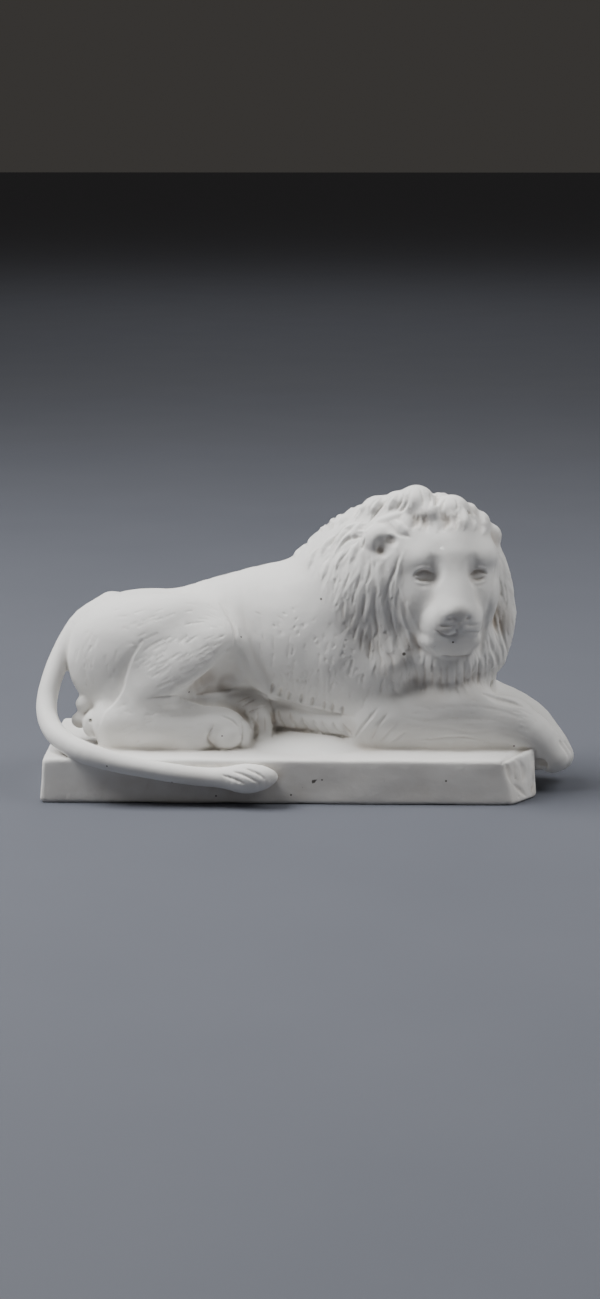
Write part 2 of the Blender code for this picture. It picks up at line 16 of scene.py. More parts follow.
import bmesh
import bpy
import numpy as np
from mathutils import Euler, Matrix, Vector

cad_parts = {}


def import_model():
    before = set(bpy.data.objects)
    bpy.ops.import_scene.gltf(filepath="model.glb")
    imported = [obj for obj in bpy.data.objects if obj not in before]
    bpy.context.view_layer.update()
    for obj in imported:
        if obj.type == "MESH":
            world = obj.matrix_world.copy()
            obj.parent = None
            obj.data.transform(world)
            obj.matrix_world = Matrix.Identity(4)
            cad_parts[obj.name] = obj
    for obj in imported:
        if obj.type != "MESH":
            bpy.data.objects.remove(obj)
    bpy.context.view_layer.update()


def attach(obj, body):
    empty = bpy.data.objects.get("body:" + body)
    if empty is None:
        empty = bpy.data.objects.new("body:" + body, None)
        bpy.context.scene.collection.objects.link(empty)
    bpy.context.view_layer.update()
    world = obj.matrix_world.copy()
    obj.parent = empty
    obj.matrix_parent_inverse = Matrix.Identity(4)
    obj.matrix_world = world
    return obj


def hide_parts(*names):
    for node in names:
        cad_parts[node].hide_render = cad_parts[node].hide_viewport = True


LOG = logging.getLogger("lion")
NODE = "lion_on_plinth"
FAR_AWAY = 1.0
# Rounds and depths for measuring the hollows, which the porcelain darkens as painted shade.
HOLLOW_ROUNDS = (2, 10, 40)
HOLLOW_DEPTH = 0.0006
HOLLOW_DEPTH_AT = 10
GRAIN_FINENESS = 7.0
GRAIN_SHARE = 0.25
SIDES = (-1, 1)

Array = np.ndarray
Pair = tuple[float, float]
Triple = tuple[float, float, float]
Knot = tuple[float, float, float, float]
Colour = tuple[float, float, float, float]


class Role(Enum):
    """Whether a mass adds clay or cuts it away."""

    ADDED = "added"
    CARVED = "carved"


@dataclass(frozen=True)
class Canon:
    """The drawing's units: x along the plinth, y back from its middle, z up from its top.

    One unit is a share of the lion's height. What hangs below the plinth's top keeps its share of the plinth.
    """

    plinth_length: float = 0.200
    plinth_depth: float = 0.075
    plinth_height: float = 0.018
    lion_height: float = 0.107
    height: float = 107.0
    end: float = 101.0
    front: float = 37.5
    drop: float = 18.0
    head_at: Triple = (62.4, -3.5, 73.0)
    head_turn: float = math.radians(12)

    @property
    def unit(self) -> float:
        """One canon unit in metres."""
        return self.lion_height / self.height

    @property
    def forward(self) -> Array:
        """The way that the face looks."""
        return np.array([math.sin(self.head_turn), -math.cos(self.head_turn), 0.0])

    @property
    def sideways(self) -> Array:
        """The way from the face's middle towards the forepaws."""
        return np.array([math.cos(self.head_turn), math.sin(self.head_turn), 0.0])

    @property
    def upward(self) -> Array:
        """The head's up."""
        return np.array([0.0, 0.0, 1.0])

    @property
    def head_axes(self) -> Array:
        """The head's sideways, backward and upward as columns."""
        return np.stack([self.sideways, -self.forward, self.upward], 1)

    def place(self, x: float, y: float, z: float) -> Triple:
        """A canon point on the object.

        Args:
            x: Along the plinth.
            y: Back from the middle.
            z: Up from the plinth's top.

        Returns:
            The point in metres.
        """
        drop = self.unit if z > 0 else self.plinth_height / self.drop
        return (
            self.plinth_length / 2 - self.unit * (self.end - x),
            self.unit * y,
            self.plinth_height + drop * z,
        )

    def place_on_front(self, x: float, y: float, z: float) -> Triple:
        """A canon point of the tail, whose depth is kept to the plinth's front face.

        Args:
            x: Along the plinth.
            y: Back from the middle.
            z: Up from the plinth's top.

        Returns:
            The point in metres.
        """
        px, _, pz = self.place(x, y, z)
        inside = max(y, -self.front) / self.front * self.plinth_depth / 2
        return px, inside + self.unit * min(0.0, y + self.front), pz

    def on_head(self, forward: float, sideways: float, upward: float) -> Triple:
        """A place in the head's frame, towards the viewer, towards the forepaws and up, as a canon point."""
        point = np.array(self.head_at) + forward * self.forward + sideways * self.sideways
        return tuple(point + upward * self.upward)

    def from_points(self, points: Array) -> Array:
        """Places in metres as canon units, true above the plinth's top."""
        corner = np.array([self.plinth_length / 2, 0, self.plinth_height])
        return (points - corner) / self.unit + (self.end, 0, 0)

    def from_head(self, points: Array) -> tuple[Array, Array, Array]:
        """How far forward, sideways and upward of the head's middle places in metres lie, in canon units."""
        away = self.from_points(points) - np.array(self.head_at)
        return away @ self.forward, away @ self.sideways, away @ self.upward


CANON = Canon()


def ramp(value: Array, low: float, high: float) -> Array:
    """A smooth step.

    Args:
        value: What is compared.
        low: Where the step starts.
        high: Where it ends.

    Returns:
        0 below low, 1 above high, and smooth between.
    """
    t = np.clip((value - low) / (high - low), 0, 1)
    return t * t * (3 - 2 * t)


def melt(a: Array, b: Array, width: float) -> Array:
    """The smaller of two distances, rounded over where they meet.

    Args:
        a: The one distance.
        b: The other.
        width: How wide the rounding is.

    Returns:
        The melted distance.
    """
    share = np.clip(0.5 + 0.5 * (b - a) / width, 0, 1)
    return b + (a - b) * share - width * share * (1 - share)


def unit_rows(vectors: Array) -> Array:
    """Vectors brought to a length of one."""
    return vectors / np.maximum(np.linalg.norm(vectors, axis=1), 1e-12)[:, None]


def against_path(path: Array, points: Array) -> Iterator[tuple[int, Array, Array, Array]]:
    """How points lie against each piece of a path.

    Args:
        path: The path's places, one a row.
        points: The points.

    Yields:
        The piece's number, its way, how far along it each point lies from 0 to 1, and how far off it.
    """
    for i, (a, b) in enumerate(zip(path[:, :3], path[1:, :3])):
        way = b - a
        t = np.clip((points - a) @ way / max(way @ way, 1e-12), 0, 1)
        yield i, way, t, points - a - t[:, None] * way


class Mass(Protocol):
    """A body of clay that the skin is melted from."""

    blend: float
    role: Role
    low: Array
    high: Array

    def distance(self, points: Array) -> Array:
        """The signed distance of each point from this mass."""
        ...

    def shells(self, sphere: Array) -> list[Array]:
        """A unit sphere's points set as this mass, once or more."""
        ...


class Ball:
    """An ellipsoid in its own axes, given in canon units."""

    def __init__(
        self,
        centre: Triple,
        radii: Triple,
        blend: float,
        turn: Triple = (0, 0, 0),
        role: Role = Role.ADDED,
        axes: Array | None = None,
    ) -> None:
        """Places the ball.

        Args:
            centre: Its middle.
            radii: Its three half widths.
            blend: How wide it melts into what came before.
            turn: Its turn in degrees.
            role: Whether it adds or cuts.
            axes: The frame that it is given in, the object's own where left out.
        """
        self.centre = np.array(CANON.place(*centre))
        self.radii = np.array(radii) * CANON.unit
        self.blend = blend * CANON.unit
        self.role = role
        own = np.array(Euler([math.radians(angle) for angle in turn]).to_matrix())
        self.axes = own if axes is None else axes @ own
        reach = np.sqrt(((self.axes * self.radii) ** 2).sum(1))
        self.low, self.high = self.centre - reach, self.centre + reach

    def distance(self, points: Array) -> Array:
        """The signed distance of each point, exact on the surface itself."""
        local = (points - self.centre) @ self.axes
        near = np.linalg.norm(local / self.radii, axis=1)
        slope = np.linalg.norm(local / self.radii**2, axis=1)
        return near * (near - 1) / np.maximum(slope, 1e-9)

    def shells(self, sphere: Array) -> list[Array]:
        """The unit sphere's points set as this ball."""
        return [sphere * self.radii @ self.axes.T + self.centre]


class Limb:
    """A tapered round limb along a smooth path of knots, each x, y, z and radius in canon units."""

    bead_gap = 0.35

    def __init__(
        self,
        knots: Sequence[Knot],
        blend: float,
        slim: tuple[Triple, float] | None = None,
        role: Role = Role.ADDED,
        on_front: bool = False,
        steps: int = 3,
    ) -> None:
        """Places the limb.

        Args:
            knots: The path's points and radii.
            blend: How wide it melts into what came before.
            slim: A middle and the share of its depth that it keeps about it.
            role: Whether it adds or cuts.
            on_front: Whether its depth is kept to the plinth's front face.
            steps: How many pieces the path has between two knots.
        """
        put = CANON.place_on_front if on_front else CANON.place
        self.path = self.smooth([(*put(*knot[:3]), knot[3] * CANON.unit) for knot in knots], steps)
        self.blend = blend * CANON.unit
        self.role = role
        middle, kept = slim or ((0, 0, 0), 1)
        self.middle, self.slim = np.array(CANON.place(*middle)), np.array([1, kept, 1])
        radii = self.path[:, 3:]
        self.low = self.slimmed((self.path[:, :3] - radii).min(0))
        self.high = self.slimmed((self.path[:, :3] + radii).max(0))

    @staticmethod
    def smooth(knots: Sequence[Knot], steps: int) -> Array:
        """A smooth path through the knots.

        Args:
            knots: Places and radii.
            steps: How many pieces lie between two knots.

        Returns:
            The path's places and radii.
        """
        rows = np.array(knots, float)
        if len(rows) < 3:
            return rows
        ends = np.vstack([2 * rows[0] - rows[1], rows, 2 * rows[-1] - rows[-2]])
        path = []
        for a, b, c, d in zip(ends, ends[1:], ends[2:], ends[3:]):
            for t in np.arange(steps) / steps:
                bend = (2 * a - 5 * b + 4 * c - d) * t**2 + (3 * b - a - 3 * c + d) * t**3
                path.append(0.5 * (2 * b + (c - a) * t + bend))
        return np.array(path + [rows[-1]])

    def slimmed(self, points: Array) -> Array:
        """Points drawn in towards the limb's middle plane."""
        return (points - self.middle) * self.slim + self.middle

    def distance(self, points: Array) -> Array:
        """The signed distance of each point."""
        points = (points - self.middle) / self.slim + self.middle
        nearest = np.full(len(points), FAR_AWAY)
        radii = self.path[:, 3]
        for i, _, t, away in against_path(self.path, points):
            own = np.linalg.norm(away, axis=1) - radii[i] - t * (radii[i + 1] - radii[i])
            nearest = np.minimum(nearest, own)
        return nearest * self.slim.min()

    def shells(self, sphere: Array) -> list[Array]:
        """The unit sphere's points set as beads along this limb."""
        beads = []
        for a, b in zip(self.path, self.path[1:]):
            count = max(1, int(np.linalg.norm(b[:3] - a[:3]) / (self.bead_gap * min(a[3], b[3]))))
            for t in np.arange(count + 1) / count:
                bead = a + (b - a) * t
                beads.append(self.slimmed(sphere * bead[3] + bead[:3]))
        return beads


class Slab:
    """A convex block between planes, with its edges worn round."""

    def __init__(self, planes: Sequence[tuple[Triple, Triple]], edge: float, blend: float) -> None:
        """Places the block.

        Args:
            planes: A point in metres and an outward way for each face.
            edge: How wide the edges' rounding is, in metres.
            blend: How wide the block melts into what came before, in metres.
        """
        self.points = [np.array(point) for point, _ in planes]
        self.ways = [np.array(way) / np.linalg.norm(way) for _, way in planes]
        self.edge = edge
        self.blend = blend
        self.role = Role.ADDED
        self.low = np.min(self.points, 0)
        self.high = np.max(self.points, 0)

    def distance(self, points: Array) -> Array:
        """The signed distance of each point."""
        inside = np.full(len(points), FAR_AWAY)
        for point, way in zip(self.points, self.ways):
            inside = melt(inside, (point - points) @ way, self.edge)
        return -inside

    def shells(self, sphere: Array) -> list[Array]:
        """The unit sphere's points pushed out to the block's box."""
        cube = sphere / np.abs(sphere).max(1)[:, None]
        return [(self.low + self.high) / 2 + cube * (self.high - self.low) / 2]


def head_ball(
    at: Triple,
    radii: Triple,
    blend: float,
    turn: Triple = (0, 0, 0),
    role: Role = Role.ADDED,
) -> Ball:
    """A ball in the head's frame.

    Args:
        at: Forward, sideways and upward place.
        radii: Half widths sideways, forward and up.
        blend: How wide it melts.
        turn: Its turn in degrees.
        role: Whether it adds or cuts.

    Returns:
        The ball.
    """
    return Ball(CANON.on_head(*at), radii, blend, turn, role, CANON.head_axes)


def head_limb(knots: Sequence[Knot], blend: float, role: Role = Role.ADDED) -> Limb:
    """A limb in the head's frame.

    Args:
        knots: Forward, sideways and upward places, and radii.
        blend: How wide it melts.
        role: Whether it adds or cuts.

    Returns:
        The limb.
    """
    return Limb([(*CANON.on_head(*knot[:3]), knot[3]) for knot in knots], blend, role=role)


def mirrored(knots: Sequence[Knot], side: int) -> list[Knot]:
    """Knots of the head's frame put on one side of it."""
    return [(f, s * side, u, r) for f, s, u, r in knots]


@dataclass(frozen=True)
class Plinth:
    """The block under the lion, with leaning sides and its front right corner broken away."""

    lean: float = 0.0011
    edge: float = 0.0016
    melt: float = 0.0012
    cut_along_front: Pair = (0.0138, 0.0104)
    cut_along_end: float = 0.0185

    def masses(self) -> list[Mass]:
        """The plinth's block."""
        x, y, z = CANON.plinth_length / 2, CANON.plinth_depth / 2, CANON.plinth_height
        top_front = Vector((x - self.lean - self.cut_along_front[0], self.lean - y, z))
        top_end = Vector((x - self.lean, self.lean - y + self.cut_along_end, z))
        foot_front = Vector((x - self.cut_along_front[1], -y, 0))
        broken = (top_end - top_front).cross(foot_front - top_front)
        broken = broken if broken.x > 0 else -broken
        tilt = self.lean / z
        planes = [
            ((x, 0, 0), (1, 0, tilt)),
            ((-x, 0, 0), (-1, 0, tilt)),
            ((0, y, 0), (0, 1, tilt)),
            ((0, -y, 0), (0, -1, tilt)),
            ((0, 0, z), (0, 0, 1)),
            ((0, 0, 0), (0, 0, -1)),
            (tuple(top_front), tuple(broken)),
        ]
        return [Slab(planes, self.edge, self.melt)]


@dataclass(frozen=True)
class Torso:
    """Trunk, rump, neck, chest and shoulders, and the clay under the belly."""

    blend: float = 8.0
    trunk_depth: float = 0.78
    neck_depth: float = 0.86

    def masses(self) -> list[Mass]:
        """The torso's masses, back to front."""
        spine = [(-64, 12.5, 33.5, 25.5), (-42, 13.5, 35, 26), (-22, 13.5, 37.5, 29), (-4, 14, 39.5, 31.5)]
        spine.append((12, 13.5, 40, 32))
        neck = [(14, 13.5, 40, 31), (34, 9.5, 60, 30), (50, 3.5, 72, 27)]
        crest = [(13, 12.5, 60, 15.2), (23.5, 10.5, 71.4, 16.6), (36, 6.5, 78.6, 17.8), (51, 4.5, 82.4, 18.8)]
        crest.append((62, 3.5, 79, 16.5))
        underside = [(-64, 10.5, 10, 15), (-20, 17, 10, 11), (20, 17, 10, 11), (62, 9.5, 12, 15)]
        far_valley = [(-42, 45, 60, 12), (-27, 48.6, 46, 12), (-22, 49, 30, 12), (-29, 48, 15, 11)]
        return [
            Limb(spine, self.blend, slim=((0, 13.5, 32), self.trunk_depth)),
            Ball((0, 16, 24), (44, 19, 18), self.blend),
            Ball((-64.5, -0.5, 33.5), (26.5, 17, 25), self.blend),
            Ball((-60, 20.5, 31), (28, 14, 25), self.blend),
            Ball((-52, 23.5, 26), (34, 12, 26), self.blend),
            Limb(neck, self.blend, slim=((0, -10, 32), self.neck_depth)),
            Limb(crest, 5),
            Ball((60, 3.5, 30), (25, 20, 28), 6),
            Ball((26, -1.5, 32), (24, 13, 30), 7, turn=(0, 12, 0)),
            Ball((22, 22.5, 32), (26, 12, 30), 7),
            Limb(underside, 5),
            Limb(far_valley, 7, role=Role.CARVED),
        ]


@dataclass(frozen=True)
class HindQuarters:
    """The folded near hind leg, the far hind paw and the belly's roll."""

    crease: float = 0.9
    far_toes: int = 3
    far_toe_pitch: float = 4.4
    first_far_toe: float = -8.6

    def masses(self) -> list[Mass]:
        """Thigh and shank, near foot, far foot, belly and glands."""
        return self.leg() + self.near_foot() + self.far_foot() + self.belly() + self.glands()

    def leg(self) -> list[Mass]:
        """The thigh, the knee, the shank that lies along it and the hollow in front of the knee."""
        border = [(-18.5, -22.5, 46, 2.5), (-19.5, -20, 39, 4.5), (-24, -18, 31, 6.5)]
        border += [(-31, -18.5, 25, 6.5), (-39, -22.5, 21.5, 4.5)]
        return [
            Ball((-50, -5, 38.5), (28, 14, 22.5), 8, turn=(0, -12, 0)),
            Ball((-42, -8, 30), (21, 12.5, 17), 8, turn=(0, -25, 0)),
            Limb([(-31, -9, 40, 11), (-44, -10.5, 30, 13), (-60, -12, 17, 10.5), (-70, -12, 10, 8.5)], 8),
            Limb(border, 5.5, role=Role.CARVED),
            Limb([(-21, -17, 36, 3), (-22.5, -14.5, 29, 5), (-26, -14, 25.5, 5)], 4, role=Role.CARVED),
            Limb([(-22, -13.5, 25, 4), (-14, -12.5, 23.5, 3.4), (-9, -12.5, 22, 2)], 2.5, role=Role.CARVED),
            Limb([(-19.5, -9, 42, 2), (-15, -9, 31, 2.8), (-7, -6.5, 22, 3)], 3),
        ]

    def near_foot(self) -> list[Mass]:
        """The foot from the hock to its round toes."""
        shaft = [(-71, -12.5, 8.8, 9), (-58, -14.5, 10.2, 9.8), (-46, -14.5, 8.8, 9), (-36, -14.5, 7.8, 8.6)]
        return [
            Limb(shaft, 3.5),
            Limb([(-70, -12.5, 2, 7.5), (-40, -14, 2, 8.6)], 3),
            Ball((-30, -12.5, 8.4), (12.4, 10, 8.2), 4),
            Ball((-25.3, -17.3, 5.4), (6.6, 5.8, 6), self.crease),
            Ball((-19, -14.5, 5.2), (3.8, 5, 5.8), self.crease),
            Ball((-17.4, -10, 5), (3.3, 4.4, 5.6), self.crease),
        ]

    def far_foot(self) -> list[Mass]:
        """The flat paw that shows behind the near foot."""
        masses: list[Mass] = [
            Limb([(-52, -1, 13, 8), (-34, -4, 13.8, 7.4), (-17, -4, 13.4, 7.2)], 1.6),
            Ball((-14.6, -3, 10.4), (8.4, 8.8, 10), 1.2),
        ]
        for toe in range(self.far_toes):
            y = self.first_far_toe + self.far_toe_pitch * toe
            masses.append(Limb([(-13, y, 13.4, 3.4), (-10.4, y, 10.4, 3.8), (-9.9, y, 3, 3.7)], 1))
        return masses

    def belly(self) -> list[Mass]:
        """The mound of clay under the belly and the belly's roll."""
        roll = [(-10, -2.5, 12.4, 5.8), (4.6, -4, 10.2, 5.2), (16.8, -8, 9, 4.7), (29, -12.5, 8.2, 4.2)]
        return [Ball((8, 2, -4.5), (33, 33, 10), 3), Limb(roll, 0.8)]

    def glands(self) -> list[Mass]:
        """Three small balls under the tail."""
        return [
            Ball((-84, -4.5, 15.3), (3.8, 3.6, 3.6), 2.4),
            Ball((-86, -5, 8.6), (3.6, 3.2, 3.4), 2.4),
            Ball((-80.5, -10, 8.3), (4.2, 4.2, 5.6), 2, turn=(0, 10, 0)),
        ]


@dataclass(frozen=True)
class ForeQuarters:
    """The forelegs: the near one lies along the plinth, and both paws hang over its end."""

    blend: float = 5.0
    toe_pitch: float = 3.6
    toe_groove: float = 0.9
    toe_fall: float = 0.09

    def masses(self) -> list[Mass]:
        """Upper arm, forearm, elbow, paws and breast."""
        far = [(60, 12.5, 17, 10), (84, 11.5, 14, 8.4), (98, 8.5, 8, 8)]
        far += [(106, 4.5, -0.5, 7.6), (111, 2.5, -6.5, 6.8)]
        return [
            Limb([(22, -4.5, 36, 14), (32, -6.5, 20, 12), (40, -8.5, 12, 11)], 6),
            Ball((37, -8, 31), (16, 11, 14), 6),
            Limb([(38, -8.5, 12, 11.5), (66, -9.5, 11.3, 11.3), (90, -9.5, 10.5, 9.5)], self.blend),
            Limb([(36, -9.5, 2.5, 8.6), (66, -10, 2.5, 9), (92, -9.5, 2, 8)], 3),
            Limb([(44, -9.5, 11, 9), (33, -11, 5.5, 6), (26.5, -12.5, 2, 2.4)], 3),
            Limb([(86, -9.5, 10.5, 9.8), (99, -9.5, 5, 8.6), (108, -9.5, -4, 7.2)], 3),
            Limb(far, 3),
            Ball((58, 8, 16), (27, 15, 16), 6),
            Limb([(80, -2, 25, 2.4), (91, -1, 21.5, 1.4)], 1.2, role=Role.CARVED),
            Ball((102.6, -14, -7), (3, 6, 3.2), 1, turn=(0, 30, 0), role=Role.CARVED),
            *self.toes(((112.5, -9.5, 2.2), (116.8, -9.5, -5), (112.5, -9.5, -12.2))),
            *self.toes(((115.5, 2.5, -0.8), (119, 2.5, -7), (115, 2.5, -13.6))),
        ]

    def toes(self, path: tuple[Triple, ...]) -> list[Mass]:
        """The grooves between a forepaw's toes.

        Args:
            path: Places over the paw's end, along its middle.

        Returns:
            The grooves.
        """
        grooves = []
        for aside in (-self.toe_pitch, 0.0, self.toe_pitch):
            line = [(x - self.toe_fall * aside**2, y + aside, z, self.toe_groove) for x, y, z in path]
            grooves.append(Limb(line, 1.2, role=Role.CARVED))
        return grooves


@dataclass(frozen=True)
class Tail:
    """The tail falls from the rump, turns round the plinth's corner and lies along its front."""

    blend: float = 2.0

    def masses(self) -> list[Mass]:
        """The tail from its root to its tuft."""
        path = [(-74, 10.5, 53, 6.5), (-84, 8.5, 47.5, 5.8), (-90.5, 4.5, 40, 5), (-94.6, 0.5, 33, 4.4)]
        path += [(-97.4, -4.5, 26, 4.1), (-98.8, -9.5, 19, 4.1), (-98.3, -15.5, 13.5, 4.1)]
        path += [(-95.5, -22.5, 9.4, 4.2), (-90.5, -29.5, 6.2, 4.3), (-82, -36, 3, 4.2)]
        path += [(-69.3, -39.5, -0.3, 4), (-56, -40.9, -2.8, 3.9), (-36.5, -40.8, -5.8, 3.7)]
        path += [(-25, -41, -6.3, 4.4), (-17, -41.2, -6.5, 5.8), (-11, -41.2, -6.3, 5.2)]
        path += [(-6.5, -41, -6, 3), (-4.8, -40.8, -5.9, 1.3)]
        return [Limb(path, self.blend, on_front=True)]


@dataclass(frozen=True)
class Head:
    """Skull, muzzle, eyes and ears, in the head's own frame."""

    near_ear: Triple = (2.6, -27.0, 12.2)
    near_ear_radii: Triple = (6.2, 5.6, 6.2)
    near_tip: Triple = (6.0, -22.6, 12.8)
    cup: Triple = (11.4, -27.3, 11.6)
    cup_radii: Triple = (4.6, 4.4, 4.4)
    cup_tip: Triple = (11.0, -23.6, 12.9)
    cup_tip_radii: Triple = (2.4, 5.4, 2.0)

    def masses(self) -> list[Mass]:
        """The head without its mane."""
        return self.skull() + self.muzzle() + self.eyes() + self.ears()

    def skull(self) -> list[Mass]:
        """Cranium, brows, temples, cheeks and jaw."""
        masses: list[Mass] = [
            head_ball((0, 0, 4), (20, 18, 17), 5),
            head_ball((5, 0, 8.5), (16.5, 12, 9.5), 4),
        ]
        for side in SIDES:
            masses += [
                head_ball((8, 9.5 * side, 5.2), (10, 9, 6), 4, turn=(0, 0, -10 * side)),
                head_ball((3, 12.5 * side, -2), (9.3, 10, 14), 4),
                head_ball((10.4, 11.3 * side, -9.6), (8.5, 7.6, 8.4), 6, turn=(0, 0, -14 * side)),
                head_ball((7, 8.8 * side, -16.5), (9.8, 9.5, 12.5), 6, turn=(0, 12 * side, 0)),
                head_limb([(10, 3.6 * side, -12.5, 8), (18.5, 4.2 * side, -16.5, 7)], 4),
            ]
        return masses + [head_limb([(8, 0, -23, 8.5), (15, 0, -26, 7)], 3.5)]

    def muzzle(self) -> list[Mass]:
        """The nose's broad bridge and pad, the whisker pads, the lips and the chin."""
        bridge = [(13.4, 2.8, 5, 4.2), (17.4, 2.8, -3.5, 4.0), (22.8, 2.6, -12.4, 3.7)]
        upper_lip = [(16.6, 10.2, -21.2, 1.6), (22.2, 6.4, -22, 1.9), (25.4, 2, -20.2, 1.7)]
        masses: list[Mass] = [
            head_limb([(14, 0, 5, 4.6), (18.6, 0, -3.5, 4.8), (24.8, 0, -12.4, 4.4)], 4.5),
            head_ball((16.2, 0, -26.6), (12, 7.2, 5.8), 4),
            head_limb([(19.2, -6.6, -24.8, 2), (23.2, 0, -24.8, 2.4), (19.2, 6.6, -24.8, 2)], 3),
        ]
        for side in SIDES:
            masses += [
                head_limb(mirrored(bridge, side), 4.5),
                head_ball((19.8, 4.9 * side, -19.2), (6, 6.3, 5.3), 3.5, turn=(0, 0, -18 * side)),
                head_limb(mirrored(upper_lip, side), 2.4),
                head_ball((25.6, 3.3 * side, -14.4), (2.8, 2.8, 2.5), 2.2),
            ]
        masses += [
            head_ball((26.4, 0, -13.8), (4.8, 2.8, 2.6), 2.2),
            head_ball((26.2, 0, -16.6), (3.4, 2.8, 2.6), 2),
            head_limb([(28.6, 0, -18, 0.5), (27, 0, -21, 0.7)], 0.9, role=Role.CARVED),
        ]
        for side in SIDES:
            turn = (0, 25 * side, 0)
            masses.append(head_ball((29, 4.2 * side, -16.2), (1.2, 1.2, 0.7), 1, turn=turn, role=Role.CARVED))
        return masses

    def eyes(self) -> list[Mass]:
        """Shallow sockets, deeper beside the nose."""
        masses: list[Mass] = []
        for side in SIDES:
            turn = (0, 0, -20 * side)
            masses += [
                head_ball((19.7, 10.9 * side, -1), (4.8, 3.4, 3.2), 3, turn=turn, role=Role.CARVED),
                head_ball((20.9, 8.2 * side, 3), (2.4, 2.2, 3.6), 3.5, role=Role.CARVED),
            ]
        return masses

    def ears(self) -> list[Mass]:
        """The near ear, small, round and cupped towards the front. The mane covers the far one."""
        return [
            head_ball(self.near_ear, self.near_ear_radii, 1.2),
            head_ball(self.near_tip, (3.2, 3.2, 2.6), 1.6),
            head_ball(self.cup, self.cup_radii, 1.5, role=Role.CARVED),
            head_ball(self.cup_tip, self.cup_tip_radii, 1.5, role=Role.CARVED),
            head_ball((10.8, -27.5, 8.6), (2.2, 5.4, 2.4), 1.5, role=Role.CARVED),
        ]


@dataclass(frozen=True)
class LockStyle:
    """How one kind of lock is cut, in canon units."""

    spacing: float
    length: float
    half_width: float
    lift: float
    crown: float
    swing: float
    strands: float
    strand_depth: float
    seed: int


